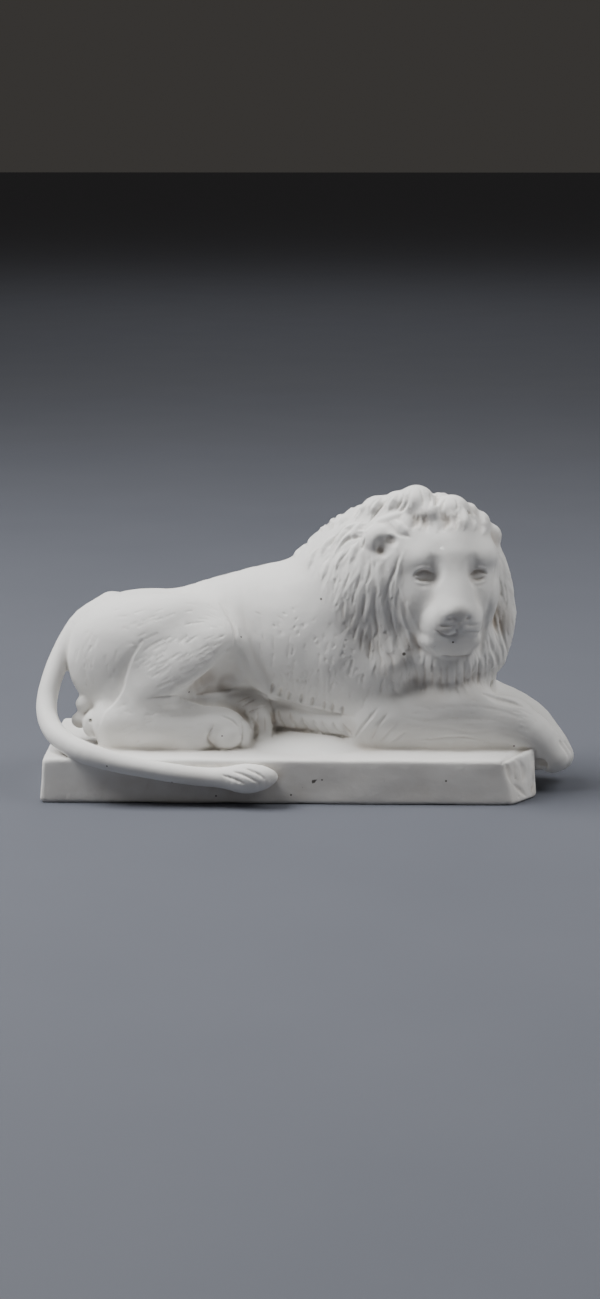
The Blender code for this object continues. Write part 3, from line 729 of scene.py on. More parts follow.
@dataclass(frozen=True)
class Mane:
    """The mane's mass, where it grows, and its locks."""

    face_heights: tuple[float, ...] = (-34, -31, -27, -20, -13, -8, 0, 8, 13, 16.5, 19)
    face_half_widths: tuple[float, ...] = (2, 7, 10.5, 14.5, 18, 20, 21, 19.5, 16, 10, 0)
    ears: tuple[Triple, Triple] = ((6.0, -26.6, 12.4), (-12.0, 22.6, 11.0))
    middle: Triple = (45.0, 4.0, 62.0)
    tuft_blend: float = 2.6
    tufts: tuple[tuple[Triple, Triple], ...] = (
        ((51.5, -3.0, 99.4), (7.6, 9.0, 7.0)),
        ((56.5, -8.5, 95.5), (5.5, 6.5, 5.4)),
        ((44.0, 0.0, 97.6), (5.6, 7.5, 5.8)),
        ((36.0, 2.0, 94.6), (6.6, 8.0, 6.2)),
        ((65.5, -4.0, 96.4), (7.4, 8.0, 6.2)),
        ((68.0, -9.5, 91.5), (5.4, 5.5, 5.2)),
        ((73.4, 0.0, 93.6), (3.4, 6.0, 4.8)),
        ((78.0, 1.0, 90.4), (3.6, 6.0, 4.4)),
        ((81.8, 5.0, 84.6), (4.4, 4.2, 4.4)),
    )
    hairline_at: float = 4.0
    hairline_top: float = 76.0
    hairline_lean: float = 0.62
    hairline_ends: Pair = (-2.0, 8.0)
    face_border: Pair = (-0.5, 1.5)
    face_front: Pair = (-4.0, 0.0)
    hem: Pair = (21.0, 27.0)
    ear_gap: Pair = (7.0, 9.5)
    forelegs_from: Pair = (70.0, 78.0)
    forelegs_hem: Pair = (22.0, 28.0)
    crown_from: Pair = (2.0, 16.0)
    brow: Pair = (4.0, 20.0)
    loose_share: float = 0.1
    reach: float = 80.0
    trials: int = 9000
    steps: int = 14
    guide_reach: float = 7.0
    falling: LockStyle = LockStyle(3.4, 17.0, 1.7, 0.42, 0.1, 0.35, 1.0, 0.08, 7)
    crowning: LockStyle = LockStyle(5.6, 14.0, 3.4, 1.3, 0.5, 0.6, 1.5, 0.25, 11)

    def masses(self) -> list[Mass]:
        """A mound behind the face, a collar round it and a beard."""
        collar = [(-3, 14, 14, 5), (-4, 18.5, 7, 5), (-3, 22.8, -3, 5.4), (-2, 24.3, -12, 6)]
        far_side = [*collar, (0, 24.3, -24, 6.3), (2, 20, -37, 6.5)]
        near_side = [*collar, (3, 24.3, -24, 6.8), (6.5, 20.5, -36, 7.2)]
        return [
            head_ball((-9, 0, -7), (27.5, 19, 33.5), 5),
            head_ball((-5, -1, 15), (18, 14, 9.5), 4),
            head_limb(far_side, 3.5),
            head_limb(mirrored(near_side, -1), 3.5),
            head_limb([(9, -9, -37, 5.5), (11, 0, -40, 6), (9, 9, -37, 5.5)], 3.5),
            head_ball((11, 0, -35), (12, 7, 8), 3),
            *(head_ball((6.5, 14.5 * side, -32), (6.5, 6, 10), 4) for side in SIDES),
            Ball((64, -11, 19), (19, 10, 8.5), 5),
            *(Ball(centre, radii, self.tuft_blend) for centre, radii in self.tufts),
        ]

    def grown(self, points: Array) -> Array:
        """How fully the mane grows at each point.

        Args:
            points: Places in metres.

        Returns:
            0 on the face, ears, body and forelegs, up to 1 in the mane.
        """
        canon = CANON.from_points(points)
        x, _, z = canon.T
        forward, sideways, upward = CANON.from_head(points)
        width = np.interp(upward, self.face_heights, self.face_half_widths)
        face = ramp(width - np.abs(sideways), *self.face_border) * ramp(forward, *self.face_front)
        face = face * (upward > self.face_heights[0])
        hairline = self.hairline_at + (self.hairline_top - z) * self.hairline_lean
        start, end = self.hairline_ends
        grown = ramp(x, hairline + start, hairline + end) * ramp(z, *self.hem) * (1 - face)
        for place in self.ears:
            ear = np.array(CANON.on_head(*place))
            grown = grown * ramp(np.linalg.norm(canon - ear, axis=1), *self.ear_gap)
        return grown * (1 - ramp(x, *self.forelegs_from) * (1 - ramp(z, *self.forelegs_hem)))

    def on_top(self, points: Array) -> Array:
        """0 on the mane's sides and 1 on its crown and crest."""
        return ramp(CANON.from_head(points)[2], *self.crown_from)

    def combing(self, points: Array, guides: Array) -> Array:
        """The way that the hair falls: along the drawn strokes near them, and elsewhere back and down.

        Args:
            points: Places in metres.
            guides: Places on drawn strokes and their ways, in one row each.

        Returns:
            A way for each point.
        """
        loose = self.loose_combing(points)
        away = np.linalg.norm(points[:, None] - guides[None, :, :3], axis=2) / (self.guide_reach * CANON.unit)
        weight = np.exp(-(away**2))
        return unit_rows(loose) * self.loose_share + weight @ guides[:, 3:]

    def loose_combing(self, points: Array) -> Array:
        """The way that the hair falls where nothing is drawn: back from the brow, and down along the neck.

        Args:
            points: Places in metres.

        Returns:
            A way for each point.
        """
        canon = CANON.from_points(points)
        _, sideways, upward = CANON.from_head(points)
        top = ramp(upward, *self.brow)[:, None]
        backward = np.array([-1.0, 0, 0])
        over = -0.5 * CANON.forward + 0.8 * CANON.sideways * (sideways / 22)[:, None] + 0.35 * backward
        lean = np.clip((56 - canon[:, 0]) / 30, 0, 1)[:, None]
        aside = 0.12 * CANON.sideways * np.sign(sideways)[:, None]
        return over * top + (-0.9 * CANON.upward + aside + 0.5 * backward * lean) * (1 - top)


class Skin:
    """The surface melted from all masses, in order."""

    least_slope = 0.05

    def __init__(self, masses: Sequence[Mass]) -> None:
        """Keeps the masses, in the order that they melt."""
        self.masses = masses
        self.cap = 30 * CANON.unit
        self.margin = 5 * CANON.unit
        self.probe = 0.1 * CANON.unit
        self.longest_step = 1.5 * CANON.unit

    def distance(self, points: Array) -> Array:
        """The signed distance of each point, capped away from the surface.

        Args:
            points: Places in metres.

        Returns:
            The distances in metres.
        """
        distance = np.full(len(points), self.cap)
        for mass in self.masses:
            reach = mass.blend + self.margin
            near = np.flatnonzero(((points > mass.low - reach) & (points < mass.high + reach)).all(1))
            if not len(near):
                continue
            own = mass.distance(points[near])
            if mass.role is Role.CARVED:
                distance[near] = -melt(-distance[near], own, mass.blend)
            else:
                distance[near] = melt(distance[near], own, mass.blend)
        return distance

    def gradient(self, points: Array, distance: Array) -> Array:
        """How the distance changes along each axis.

        Args:
            points: Places in metres.
            distance: Their distances.

        Returns:
            The gradient at each point.
        """
        gradient = np.empty_like(points)
        for axis in range(3):
            probe = np.zeros(3)
            probe[axis] = self.probe
            gradient[:, axis] = (self.distance(points + probe) - distance) / self.probe
        return gradient

    def outward(self, points: Array) -> Array:
        """Unit normals at the points."""
        return unit_rows(self.gradient(points, self.distance(points)))

    def settle(self, points: Array, rounds: int) -> Array:
        """Moves points onto the surface.

        Args:
            points: Places in metres.
            rounds: How many steps each takes.

        Returns:
            The moved points.
        """
        for _ in range(rounds):
            distance = self.distance(points)
            gradient = self.gradient(points, distance)
            step = gradient * (distance / np.maximum((gradient**2).sum(1), self.least_slope))[:, None]
            length = np.linalg.norm(step, axis=1)
            points = points - step * np.minimum(1, self.longest_step / np.maximum(length, 1e-12))[:, None]
        return points

    def blocked_out(self) -> bpy.types.Mesh:
        """All added masses as spheres and beads in one mesh, still passing through each other."""
        bm = bmesh.new()
        bmesh.ops.create_icosphere(bm, subdivisions=3, radius=1)
        sphere = np.array([vert.co[:] for vert in bm.verts])
        faces = np.array([[vert.index for vert in face.verts] for face in bm.faces])
        bm.free()
        added = [mass for mass in self.masses if mass.role is Role.ADDED]
        shells = [shell for mass in added for shell in mass.shells(sphere)]
        mesh = bpy.data.meshes.new("masses")
        every = np.concatenate([faces + len(sphere) * i for i in range(len(shells))])
        mesh.from_pydata(np.concatenate(shells), [], every.tolist())
        return mesh


class LockCutter:
    """Grows locks over the skin and says how far they stand above it."""

    ray_steps = 24
    ray_caution = 0.7
    least_share = 0.3
    root_width = 0.6
    root_part = 0.25
    tip_part = 0.45
    root_lift = 0.35
    crown_behind = (2, 9)
    stride_spread = (0.75, 1.25)
    swing_spread = (0.5, 1.3)
    width_spread = (0.8, 1.25)
    rise_spread = (0.7, 1.3)
    reach = 1.3
    free_height = 2
    height_cost = 0.5

    def __init__(self, skin: Skin, mane: Mane, style: LockStyle, crown: bool, guides: Array) -> None:
        """Grows the locks.

        Args:
            skin: The surface.
            mane: Where and which way the hair grows.
            style: How these locks are cut.
            crown: Whether they grow on the crown or on the sides.
            guides: Places on drawn strokes and their ways.
        """
        self.skin, self.mane, self.style, self.crown, self.guides = skin, mane, style, crown, guides
        self.chance = np.random.default_rng(style.seed)
        self.paths, self.normals = self.grown_paths(self.roots())

    def share(self, points: Array) -> Array:
        """How fully this kind of lock grows at each point."""
        top = self.mane.on_top(points)
        behind = ramp(CANON.from_points(points)[:, 1], *self.crown_behind)
        return self.mane.grown(points) * (top * behind if self.crown else 1 - top)

    def roots(self) -> Array:
        """Evenly spread roots, found by rays that come in from all round the mane's middle."""
        mane, spacing = self.mane, self.style.spacing * CANON.unit
        count = np.arange(mane.trials)
        height = 1 - (2 * count + 1) / mane.trials
        angle = count * math.pi * (3 - math.sqrt(5))
        ring = np.sqrt(1 - height**2)
        ways = np.stack([ring * np.cos(angle), ring * np.sin(angle), height], 1)
        points = np.array(CANON.place(*mane.middle)) + ways * mane.reach * CANON.unit
        for _ in range(self.ray_steps):
            points = points - ways * (self.ray_caution * self.skin.distance(points))[:, None]
        arrived = np.abs(self.skin.distance(points)) < CANON.unit
        points = points[(self.share(points) > self.least_share) & arrived]
        roots = np.empty((0, 3))
        for point in points[self.chance.permutation(len(points))]:
            if not len(roots) or np.linalg.norm(roots - point, axis=1).min() > spacing:
                roots = np.vstack([roots, point])
        return roots

    def grown_paths(self, roots: Array) -> tuple[Array, Array]:
        """Lets each lock run over the skin from its root.

        Args:
            roots: Where the locks start.

        Returns:
            Each lock's places and the skin's normals there.
        """
        style, steps, count = self.style, self.mane.steps, len(roots)
        stride = style.length * CANON.unit / steps * self.chance.uniform(*self.stride_spread, count)
        phase = self.chance.uniform(0, math.pi / 2, count)
        swing = style.swing * self.chance.uniform(*self.swing_spread, count)
        swing = swing * self.chance.choice(SIDES, count)
        points = self.skin.settle(roots, 2)
        paths, normals = [points], [self.skin.outward(points)]
        for step in range(steps):
            up = normals[-1]
            way = self.mane.combing(points, self.guides)
            way = unit_rows(way - up * (way * up).sum(1)[:, None])
            angle = swing * np.sin(2 * math.pi * step / steps + phase)
            way = way * np.cos(angle)[:, None] + np.cross(up, way) * np.sin(angle)[:, None]
            points = self.skin.settle(points + way * stride[:, None], 1)
            paths.append(points)
            normals.append(self.skin.outward(points))
        return np.stack(paths, 1), np.stack(normals, 1)

    @staticmethod
    def along(path: Array, normals: Array, points: Array) -> tuple[Array, Array, Array]:
        """Where points lie against one lock.

        Args:
            path: The lock's places.
            normals: The skin's normals there.
            points: The points.

        Returns:
            How far along it from 0 to 1, how far to its side, and on which side.
        """
        aside = np.full(len(points), FAR_AWAY)
        along = np.zeros(len(points))
        hand = np.zeros(len(points))
        for i, way, t, away in against_path(path, points):
            up = normals[i]
            above = away @ up
            across = np.cross(up, way / max(np.linalg.norm(way), 1e-12))
            flat = np.linalg.norm(away - above[:, None] * up, axis=1)
            too_high = np.maximum(np.abs(above) - LockCutter.free_height * CANON.unit, 0)
            flat = flat + LockCutter.height_cost * too_high
            closer = flat < aside
            aside = np.where(closer, flat, aside)
            along = np.where(closer, (i + t) / (len(path) - 1), along)
            hand = np.where(closer, np.sign(away @ across), hand)
        return along, aside, hand

    def heights(self, points: Array) -> Array:
        """How far the locks stand above the skin. Each is pointed and lifts over the next towards its tip.

        Args:
            points: Places on the skin.

        Returns:
            The heights in metres.
        """
        style, unit = self.style, CANON.unit
        heights = np.zeros(len(points))
        for path, normals in zip(self.paths, self.normals):
            half_width = style.half_width * unit * self.chance.uniform(*self.width_spread)
            rise = self.chance.uniform(*self.rise_spread)
            low, high = path.min(0) - self.reach * half_width, path.max(0) + self.reach * half_width
            near = np.flatnonzero(((points > low) & (points < high)).all(1))
            if not len(near):
                continue
            along, aside, hand = self.along(path, normals, points[near])
            root = self.root_width + (1 - self.root_width) * np.sqrt(np.clip(along / self.root_part, 0, 1))
            tip = np.sqrt(np.clip((1 - along) / self.tip_part, 0, 1))
            width = np.maximum(half_width * root * tip, 1e-3 * unit)
            across = np.clip(aside / width, 0, 1)
            slope = self.root_lift + (1 - self.root_lift) * along
            lift = (style.lift * slope * rise + style.crown) * unit
            raised = lift * np.sqrt(1 - across**2)
            strands = np.cos(2 * math.pi * style.strands * hand * across)
            raised = raised + style.strand_depth * unit * (strands - 1) / 2 * (across < 1)
            heights[near] = np.maximum(heights[near], raised)
        return heights * self.share(points)


@dataclass(frozen=True)
class View:
    """The front view: the camera's place, and a sheet of 600 by 1299 steps that strokes are drawn on."""

    target: Triple = (0.0035, -0.0015, 0.056)
    azimuth: float = math.radians(1.5)
    elevation: float = math.radians(11.5)
    distance: float = 1.05
    step: float = 0.00041
    sheet: tuple[int, int] = (600, 1299)
    sensor: float = 36.0
    start: float = 0.12
    arrived: float = 0.00005
    stride: float = 0.004
    creep: float = 0.0003
    rounds: int = 80
    caution: float = 0.8

    @property
    def back(self) -> Vector:
        """The way from the target to the camera."""
        flat = math.cos(self.elevation)
        x, y = math.sin(self.azimuth) * flat, -math.cos(self.azimuth) * flat
        return Vector((x, y, math.sin(self.elevation)))

    @property
    def eye(self) -> Vector:
        """The camera's place."""
        return Vector(self.target) + self.back * self.distance

    @property
    def lens(self) -> float:
        """The focal length that gives the sheet's step at the target, in the sensor's units."""
        return self.sensor * self.distance / (self.step * self.sheet[1])

    def ways(self, sheet: Array) -> Array:
        """The view's rays through points of the sheet.

        Args:
            sheet: Steps right and down from the sheet's corner.

        Returns:
            A unit way for each.
        """
        right = np.array([math.cos(self.azimuth), math.sin(self.azimuth), 0.0])
        back = np.array(self.back)
        up = np.cross(back, right)
        across = (sheet[:, :1] - self.sheet[0] / 2) * self.step
        down = (sheet[:, 1:2] - self.sheet[1] / 2) * self.step
        return unit_rows(right * across - up * down - back * self.distance)

    def onto(self, skin: Skin, sheet: Array) -> Array:
        """Where points of the sheet meet the skin, or come nearest to it.

        Args:
            skin: The surface.
            sheet: Steps right and down from the sheet's corner.

        Returns:
            Places in metres.
        """
        ways = self.ways(sheet)
        points = np.array(self.eye) + ways * (self.distance - self.start)
        best, least = points.copy(), np.full(len(points), FAR_AWAY)
        for _ in range(self.rounds):
            away = skin.distance(points)
            closer = np.abs(away) < least
            best[closer] = points[closer]
            least = np.minimum(least, np.abs(away))
            onward = np.clip(self.caution * away, -self.stride, self.stride)
            onward = np.where(away > 0, np.maximum(onward, self.creep), onward)
            points = points + ways * np.where(least < self.arrived, 0, onward)[:, None]
        return best


VIEW = View()


@dataclass(frozen=True)
class Stroke:
    """A modelling stroke on the front view: its knots on the sheet, its half width and how far it rises.

    A rise below zero presses in. The sizes are canon units. A stroke with another half width on its left
    makes a step there.
    """

    knots: tuple[Pair, ...]
    half_width: float
    rise: float
    other_half_width: float | None = None
    pieces = 4

    def path(self) -> Array:
        """The stroke's smooth line on the sheet."""
        rows = [(x, y, 0.0, 0.0) for x, y in self.knots]
        return Limb.smooth(rows, self.pieces)[:, :2]


def strokes(half_width: float, rise: float, *lines: tuple[Pair, ...]) -> list[Stroke]:
    """Strokes of one half width and one rise, each given by its knots."""
    return [Stroke(knots, half_width, rise) for knots in lines]


@dataclass(frozen=True)
class ManeStrokes:
    """The locks and the grooves of the mane as the front view shows them."""

    depth: float = 0.55

    def crown(self) -> list[Stroke]:
        """Chunky tufts that make the scalloped outline, and the forelock over the brow."""
        return [
            *strokes(3.0, 0.9, ((430, 499), (435, 510), (437, 522), (437, 531))),
            *strokes(2.6, 0.8, ((406, 505), (406, 516), (409, 529)), ((463, 507), (466, 517), (464, 529))),
            *strokes(2.4, 0.8, ((472, 513), (475, 521), (473, 530)), ((484, 519), (485, 527), (482, 535))),
            *strokes(1.6, 0.5, ((420, 512), (421, 521), (419, 530)), ((451, 511), (452, 520), (450, 530))),
            *strokes(2.6, 1.2, ((366, 505), (360, 512), (356, 520)), ((343, 514), (336, 521), (331, 529))),
            *strokes(2.6, 1.1, ((320, 528), (313, 536), (309, 545)), ((362, 522), (356, 530), (352, 539))),
            *strokes(2.4, 1.0, ((348, 529), (341, 537), (337, 546)), ((333, 537), (326, 545), (322, 555))),
            *strokes(2.4, 0.9, ((318, 549), (312, 558), (309, 568)), ((358, 543), (353, 552), (350, 562))),
            *strokes(2.2, 0.8, ((344, 551), (339, 560), (336, 570)), ((329, 560), (325, 569), (322, 579))),
            *strokes(3.0, 1.3, ((397, 494), (391, 503), (388, 511))),
            *strokes(3.3, 1.4, ((380, 498), (374, 505), (369, 513))),
            *strokes(3.4, 1.3, ((354, 510), (347, 517), (341, 524))),
            *strokes(3.2, 1.2, ((331, 518), (325, 526), (320, 533)), ((307, 539), (300, 549), (296, 557))),
            *strokes(2.2, 0.6, ((410, 512), (400, 514), (388, 518), (378, 522), (371, 529))),
            *strokes(2.4, 1.0, ((396, 521), (403, 528), (409, 534))),
            *strokes(1.7, 0.8, ((366, 524), (356, 525), (346, 529), (338, 537), (332, 546))),
            *strokes(1.6, 0.8, ((367, 532), (356, 532), (348, 536), (340, 545), (334, 556))),
        ]

    def crown_grooves(self) -> list[Stroke]:
        """The deep cuts between the crown's tufts."""
        return [
            *strokes(3.6, -1.1, ((414, 519), (421, 521), (428, 520))),
            *strokes(3.6, -1.1, ((444, 520), (451, 521), (458, 519))),
            *strokes(0.9, -0.7, ((415, 513), (414, 522), (413, 530)), ((425, 513), (427, 521), (426, 531))),
            *strokes(0.9, -0.7, ((445, 513), (446, 522), (444, 531)), ((457, 512), (457, 521), (456, 530))),
            *strokes(1.2, -1.0, ((437, 494), (437, 501), (434, 507))),
            *strokes(1.1, -0.9, ((405, 494), (407, 501), (404, 509), (399, 513))),
            *strokes(0.9, -0.5, ((411, 489), (409, 498), (410, 507)), ((420, 488), (423, 497), (423, 507))),
            *strokes(0.9, -0.5, ((430, 492), (431, 499), (429, 508)), ((446, 497), (443, 504), (441, 511))),
            *strokes(0.9, -0.5, ((456, 498), (458, 505), (456, 511)), ((397, 495), (390, 502), (387, 511))),
            *strokes(0.9, -0.5, ((380, 499), (373, 506), (369, 514)), ((388, 499), (381, 507), (375, 516))),
            *strokes(0.9, -1.2, ((467, 512), (471, 513))),
            *strokes(1.0, -0.9, ((403, 493), (401, 502), (396, 511))),
            *strokes(1.0, -0.9, ((387, 502), (380, 508), (374, 516), (369, 523))),
            *strokes(1.0, -0.9, ((363, 506), (360, 513), (355, 519)), ((342, 515), (336, 522), (332, 530))),
            *strokes(1.3, -0.5, ((388, 522), (392, 528), (398, 534), (410, 537))),
            *strokes(1.2, -0.7, ((364, 537), (354, 538), (346, 541), (341, 548))),
            *strokes(1.1, -0.9, ((345, 526), (340, 533), (334, 540), (330, 547))),
            *strokes(0.9, -0.8, ((366, 538), (364, 543), (362, 550)), ((320, 531), (328, 527), (337, 524))),
        ]

    def beside_the_face(self) -> list[Stroke]:
        """The long smooth strands and grooves that fall from the near ear past the cheek."""
        return [
            *strokes(2.4, 0.9, ((377, 558), (381, 575), (383, 595), (384, 615), (388, 634))),
            *strokes(2.0, 0.8, ((403, 554), (398, 572), (394, 590), (393, 610), (396, 628), (401, 642))),
            *strokes(1.4, 0.8, ((401, 611), (405, 622), (409, 635), (412, 651))),
            *strokes(2.2, -0.8, ((398, 588), (402, 600), (407, 614), (413, 629), (418, 644), (427, 656))),
            *strokes(1.0, -0.9, ((399, 556), (395, 570), (390, 582), (385, 597), (383, 608))),
            *strokes(0.9, -0.8, ((388, 600), (390, 612), (392, 624), (397, 637))),
            *strokes(0.9, -0.9, ((370, 556), (371, 566), (369, 578), (366, 586))),
            *strokes(1.2, -1.1, ((366, 595), (364, 604), (362, 616))),
            *strokes(0.9, -0.8, ((374, 592), (375, 606), (376, 622), (379, 638))),
        ]

    def falling(self) -> list[Stroke]:
        """Wavy strands lower on the neck."""
        return [
            *strokes(0.8, -0.7, ((361, 574), (358, 584), (355, 593)), ((350, 573), (347, 583), (344, 592))),
            *strokes(0.8, -0.7, ((357, 588), (354, 597), (352, 607))),
            *strokes(0.8, -0.7, ((351, 548), (346, 555), (340, 563), (337, 572))),
            *strokes(0.7, -0.6, ((355, 611), (352, 620), (350, 629)), ((338, 575), (335, 585), (334, 595))),
            *strokes(1.0, -0.9, ((358, 623), (355, 632), (353, 643)), ((371, 636), (370, 648), (369, 660))),
            *strokes(0.8, -0.8, ((363, 627), (361, 638), (361, 651)), ((384, 677), (382, 686), (381, 694))),
            *strokes(0.8, 0.6, ((368, 627), (365, 636), (364, 649))),
            *strokes(0.7, -0.6, ((376, 665), (374, 672), (373, 680)), ((353, 657), (351, 668), (349, 678))),
            *strokes(0.7, -0.6, ((364, 674), (362, 683)), ((345, 600), (343, 612), (344, 622))),
            *strokes(1.2, -0.8, ((386, 652), (391, 658), (394, 665))),
            *strokes(0.8, -0.6, ((378, 640), (379, 652), (383, 664)), ((334, 681), (332, 687), (330, 693))),
        ]

    def far_side(self) -> list[Stroke]:
        """The smooth curved strands on the other side of the face."""
        return [
            *strokes(2.2, -1.1, ((495, 566), (493, 585), (489, 605), (486, 625), (482, 643), (479, 662))),
            *strokes(2.0, 0.8, ((500, 556), (508, 572), (512, 590), (512, 609))),
            *strokes(0.7, -0.7, ((503, 582), (506, 592), (507, 605)), ((499, 577), (501, 588), (501, 600))),
            *strokes(1.2, 1.0, ((494, 609), (497, 622), (499, 635), (503, 649), (504, 663))),
            *strokes(1.1, -0.9, ((498, 611), (501, 628), (505, 642), (508, 656))),
            *strokes(1.5, -1.1, ((488, 634), (492, 648), (497, 660), (498, 669))),
            *strokes(1.0, 0.7, ((490, 651), (493, 662), (494, 673))),
            *strokes(1.0, 0.7, ((484, 640), (486, 655), (486, 672), (484, 685))),
        ]

    def beard(self) -> list[Stroke]:
        """Soft upright strands under the chin."""
        return [
            *strokes(1.2, 0.6, ((452, 664), (452, 676), (451, 690)), ((460, 662), (460, 676), (459, 690))),
            *strokes(1.4, 0.6, ((468, 658), (469, 672), (468, 688)), ((475, 654), (476, 668), (474, 686))),
            *strokes(0.9, -0.9, ((456, 660), (456, 675), (456, 690)), ((464, 660), (464, 672), (464, 686))),
            *strokes(1.0, -0.8, ((478, 656), (479, 672), (477, 688)), ((447, 662), (447, 674), (447, 690))),
            *strokes(0.8, -0.6, ((440, 660), (441, 674), (440, 690)), ((432, 659), (433, 673), (432, 689))),
            *strokes(0.9, -0.7, ((424, 661), (425, 674), (423, 688)), ((416, 665), (417, 676), (417, 688))),
            *strokes(0.7, -0.5, ((409, 667), (410, 677), (409, 687)), ((472, 664), (472, 674), (472, 686))),
            *strokes(1.2, 0.6, ((403, 659), (404, 670), (406, 683))),
        ]

    def every(self) -> list[Stroke]:
        """All strokes of the mane, as deep as the light needs."""
        sides = self.beside_the_face() + self.falling() + self.far_side() + self.beard()
        shallow = [replace(stroke, rise=stroke.rise * self.depth) for stroke in sides]
        return self.crown() + self.crown_grooves() + shallow


@dataclass(frozen=True)
class FaceStrokes:
    """The creases of the face."""

    def every(self) -> list[Stroke]:
        """Lids, brows, nose, mouth and chin."""
        return [
            *strokes(1.2, -1.1, ((414, 576), (420, 572.5), (427, 572), (434.5, 575))),
            *strokes(1.2, -1.1, ((469, 575.5), (475, 572), (481, 571.5), (487, 574))),
            *strokes(0.8, -0.6, ((415, 578), (422, 580), (430, 579.5))),
            *strokes(0.8, -0.6, ((472, 579), (478, 579.5), (485, 577))),
            *strokes(0.8, 0.5, ((413, 572), (420, 568), (427, 567), (435, 569.5))),
            *strokes(0.8, 0.5, ((471, 570), (478, 566.5), (487, 569))),
            *strokes(0.8, 0.35, ((414, 581.5), (422, 584), (431, 583))),
            *strokes(0.8, 0.35, ((472, 583), (479, 583.5), (487, 580.5))),
            *strokes(2.4, -0.25, ((431, 553), (432, 561), (433, 569)), ((475, 552), (475, 560), (474, 568))),
            *strokes(0.9, -0.7, ((435, 630), (440, 633), (447.5, 636), (455, 634), (461, 631.5))),
            *strokes(0.9, -0.6, ((460, 631), (466, 632), (473, 632.5), (483, 633))),
            *strokes(0.7, -0.35, ((438, 625.5), (447, 626.5), (455, 624))),
            *strokes(0.7, -0.35, ((463, 624), (471, 625.5), (480, 624))),
            *strokes(0.7, -0.5, ((460, 621), (460, 630))),
            *strokes(0.8, -0.4, ((452, 617), (457, 620)), ((463, 620), (470, 618))),
            *strokes(0.9, -0.7, ((440, 655), (450, 656.5), (462, 656.5), (473, 654))),
        ]


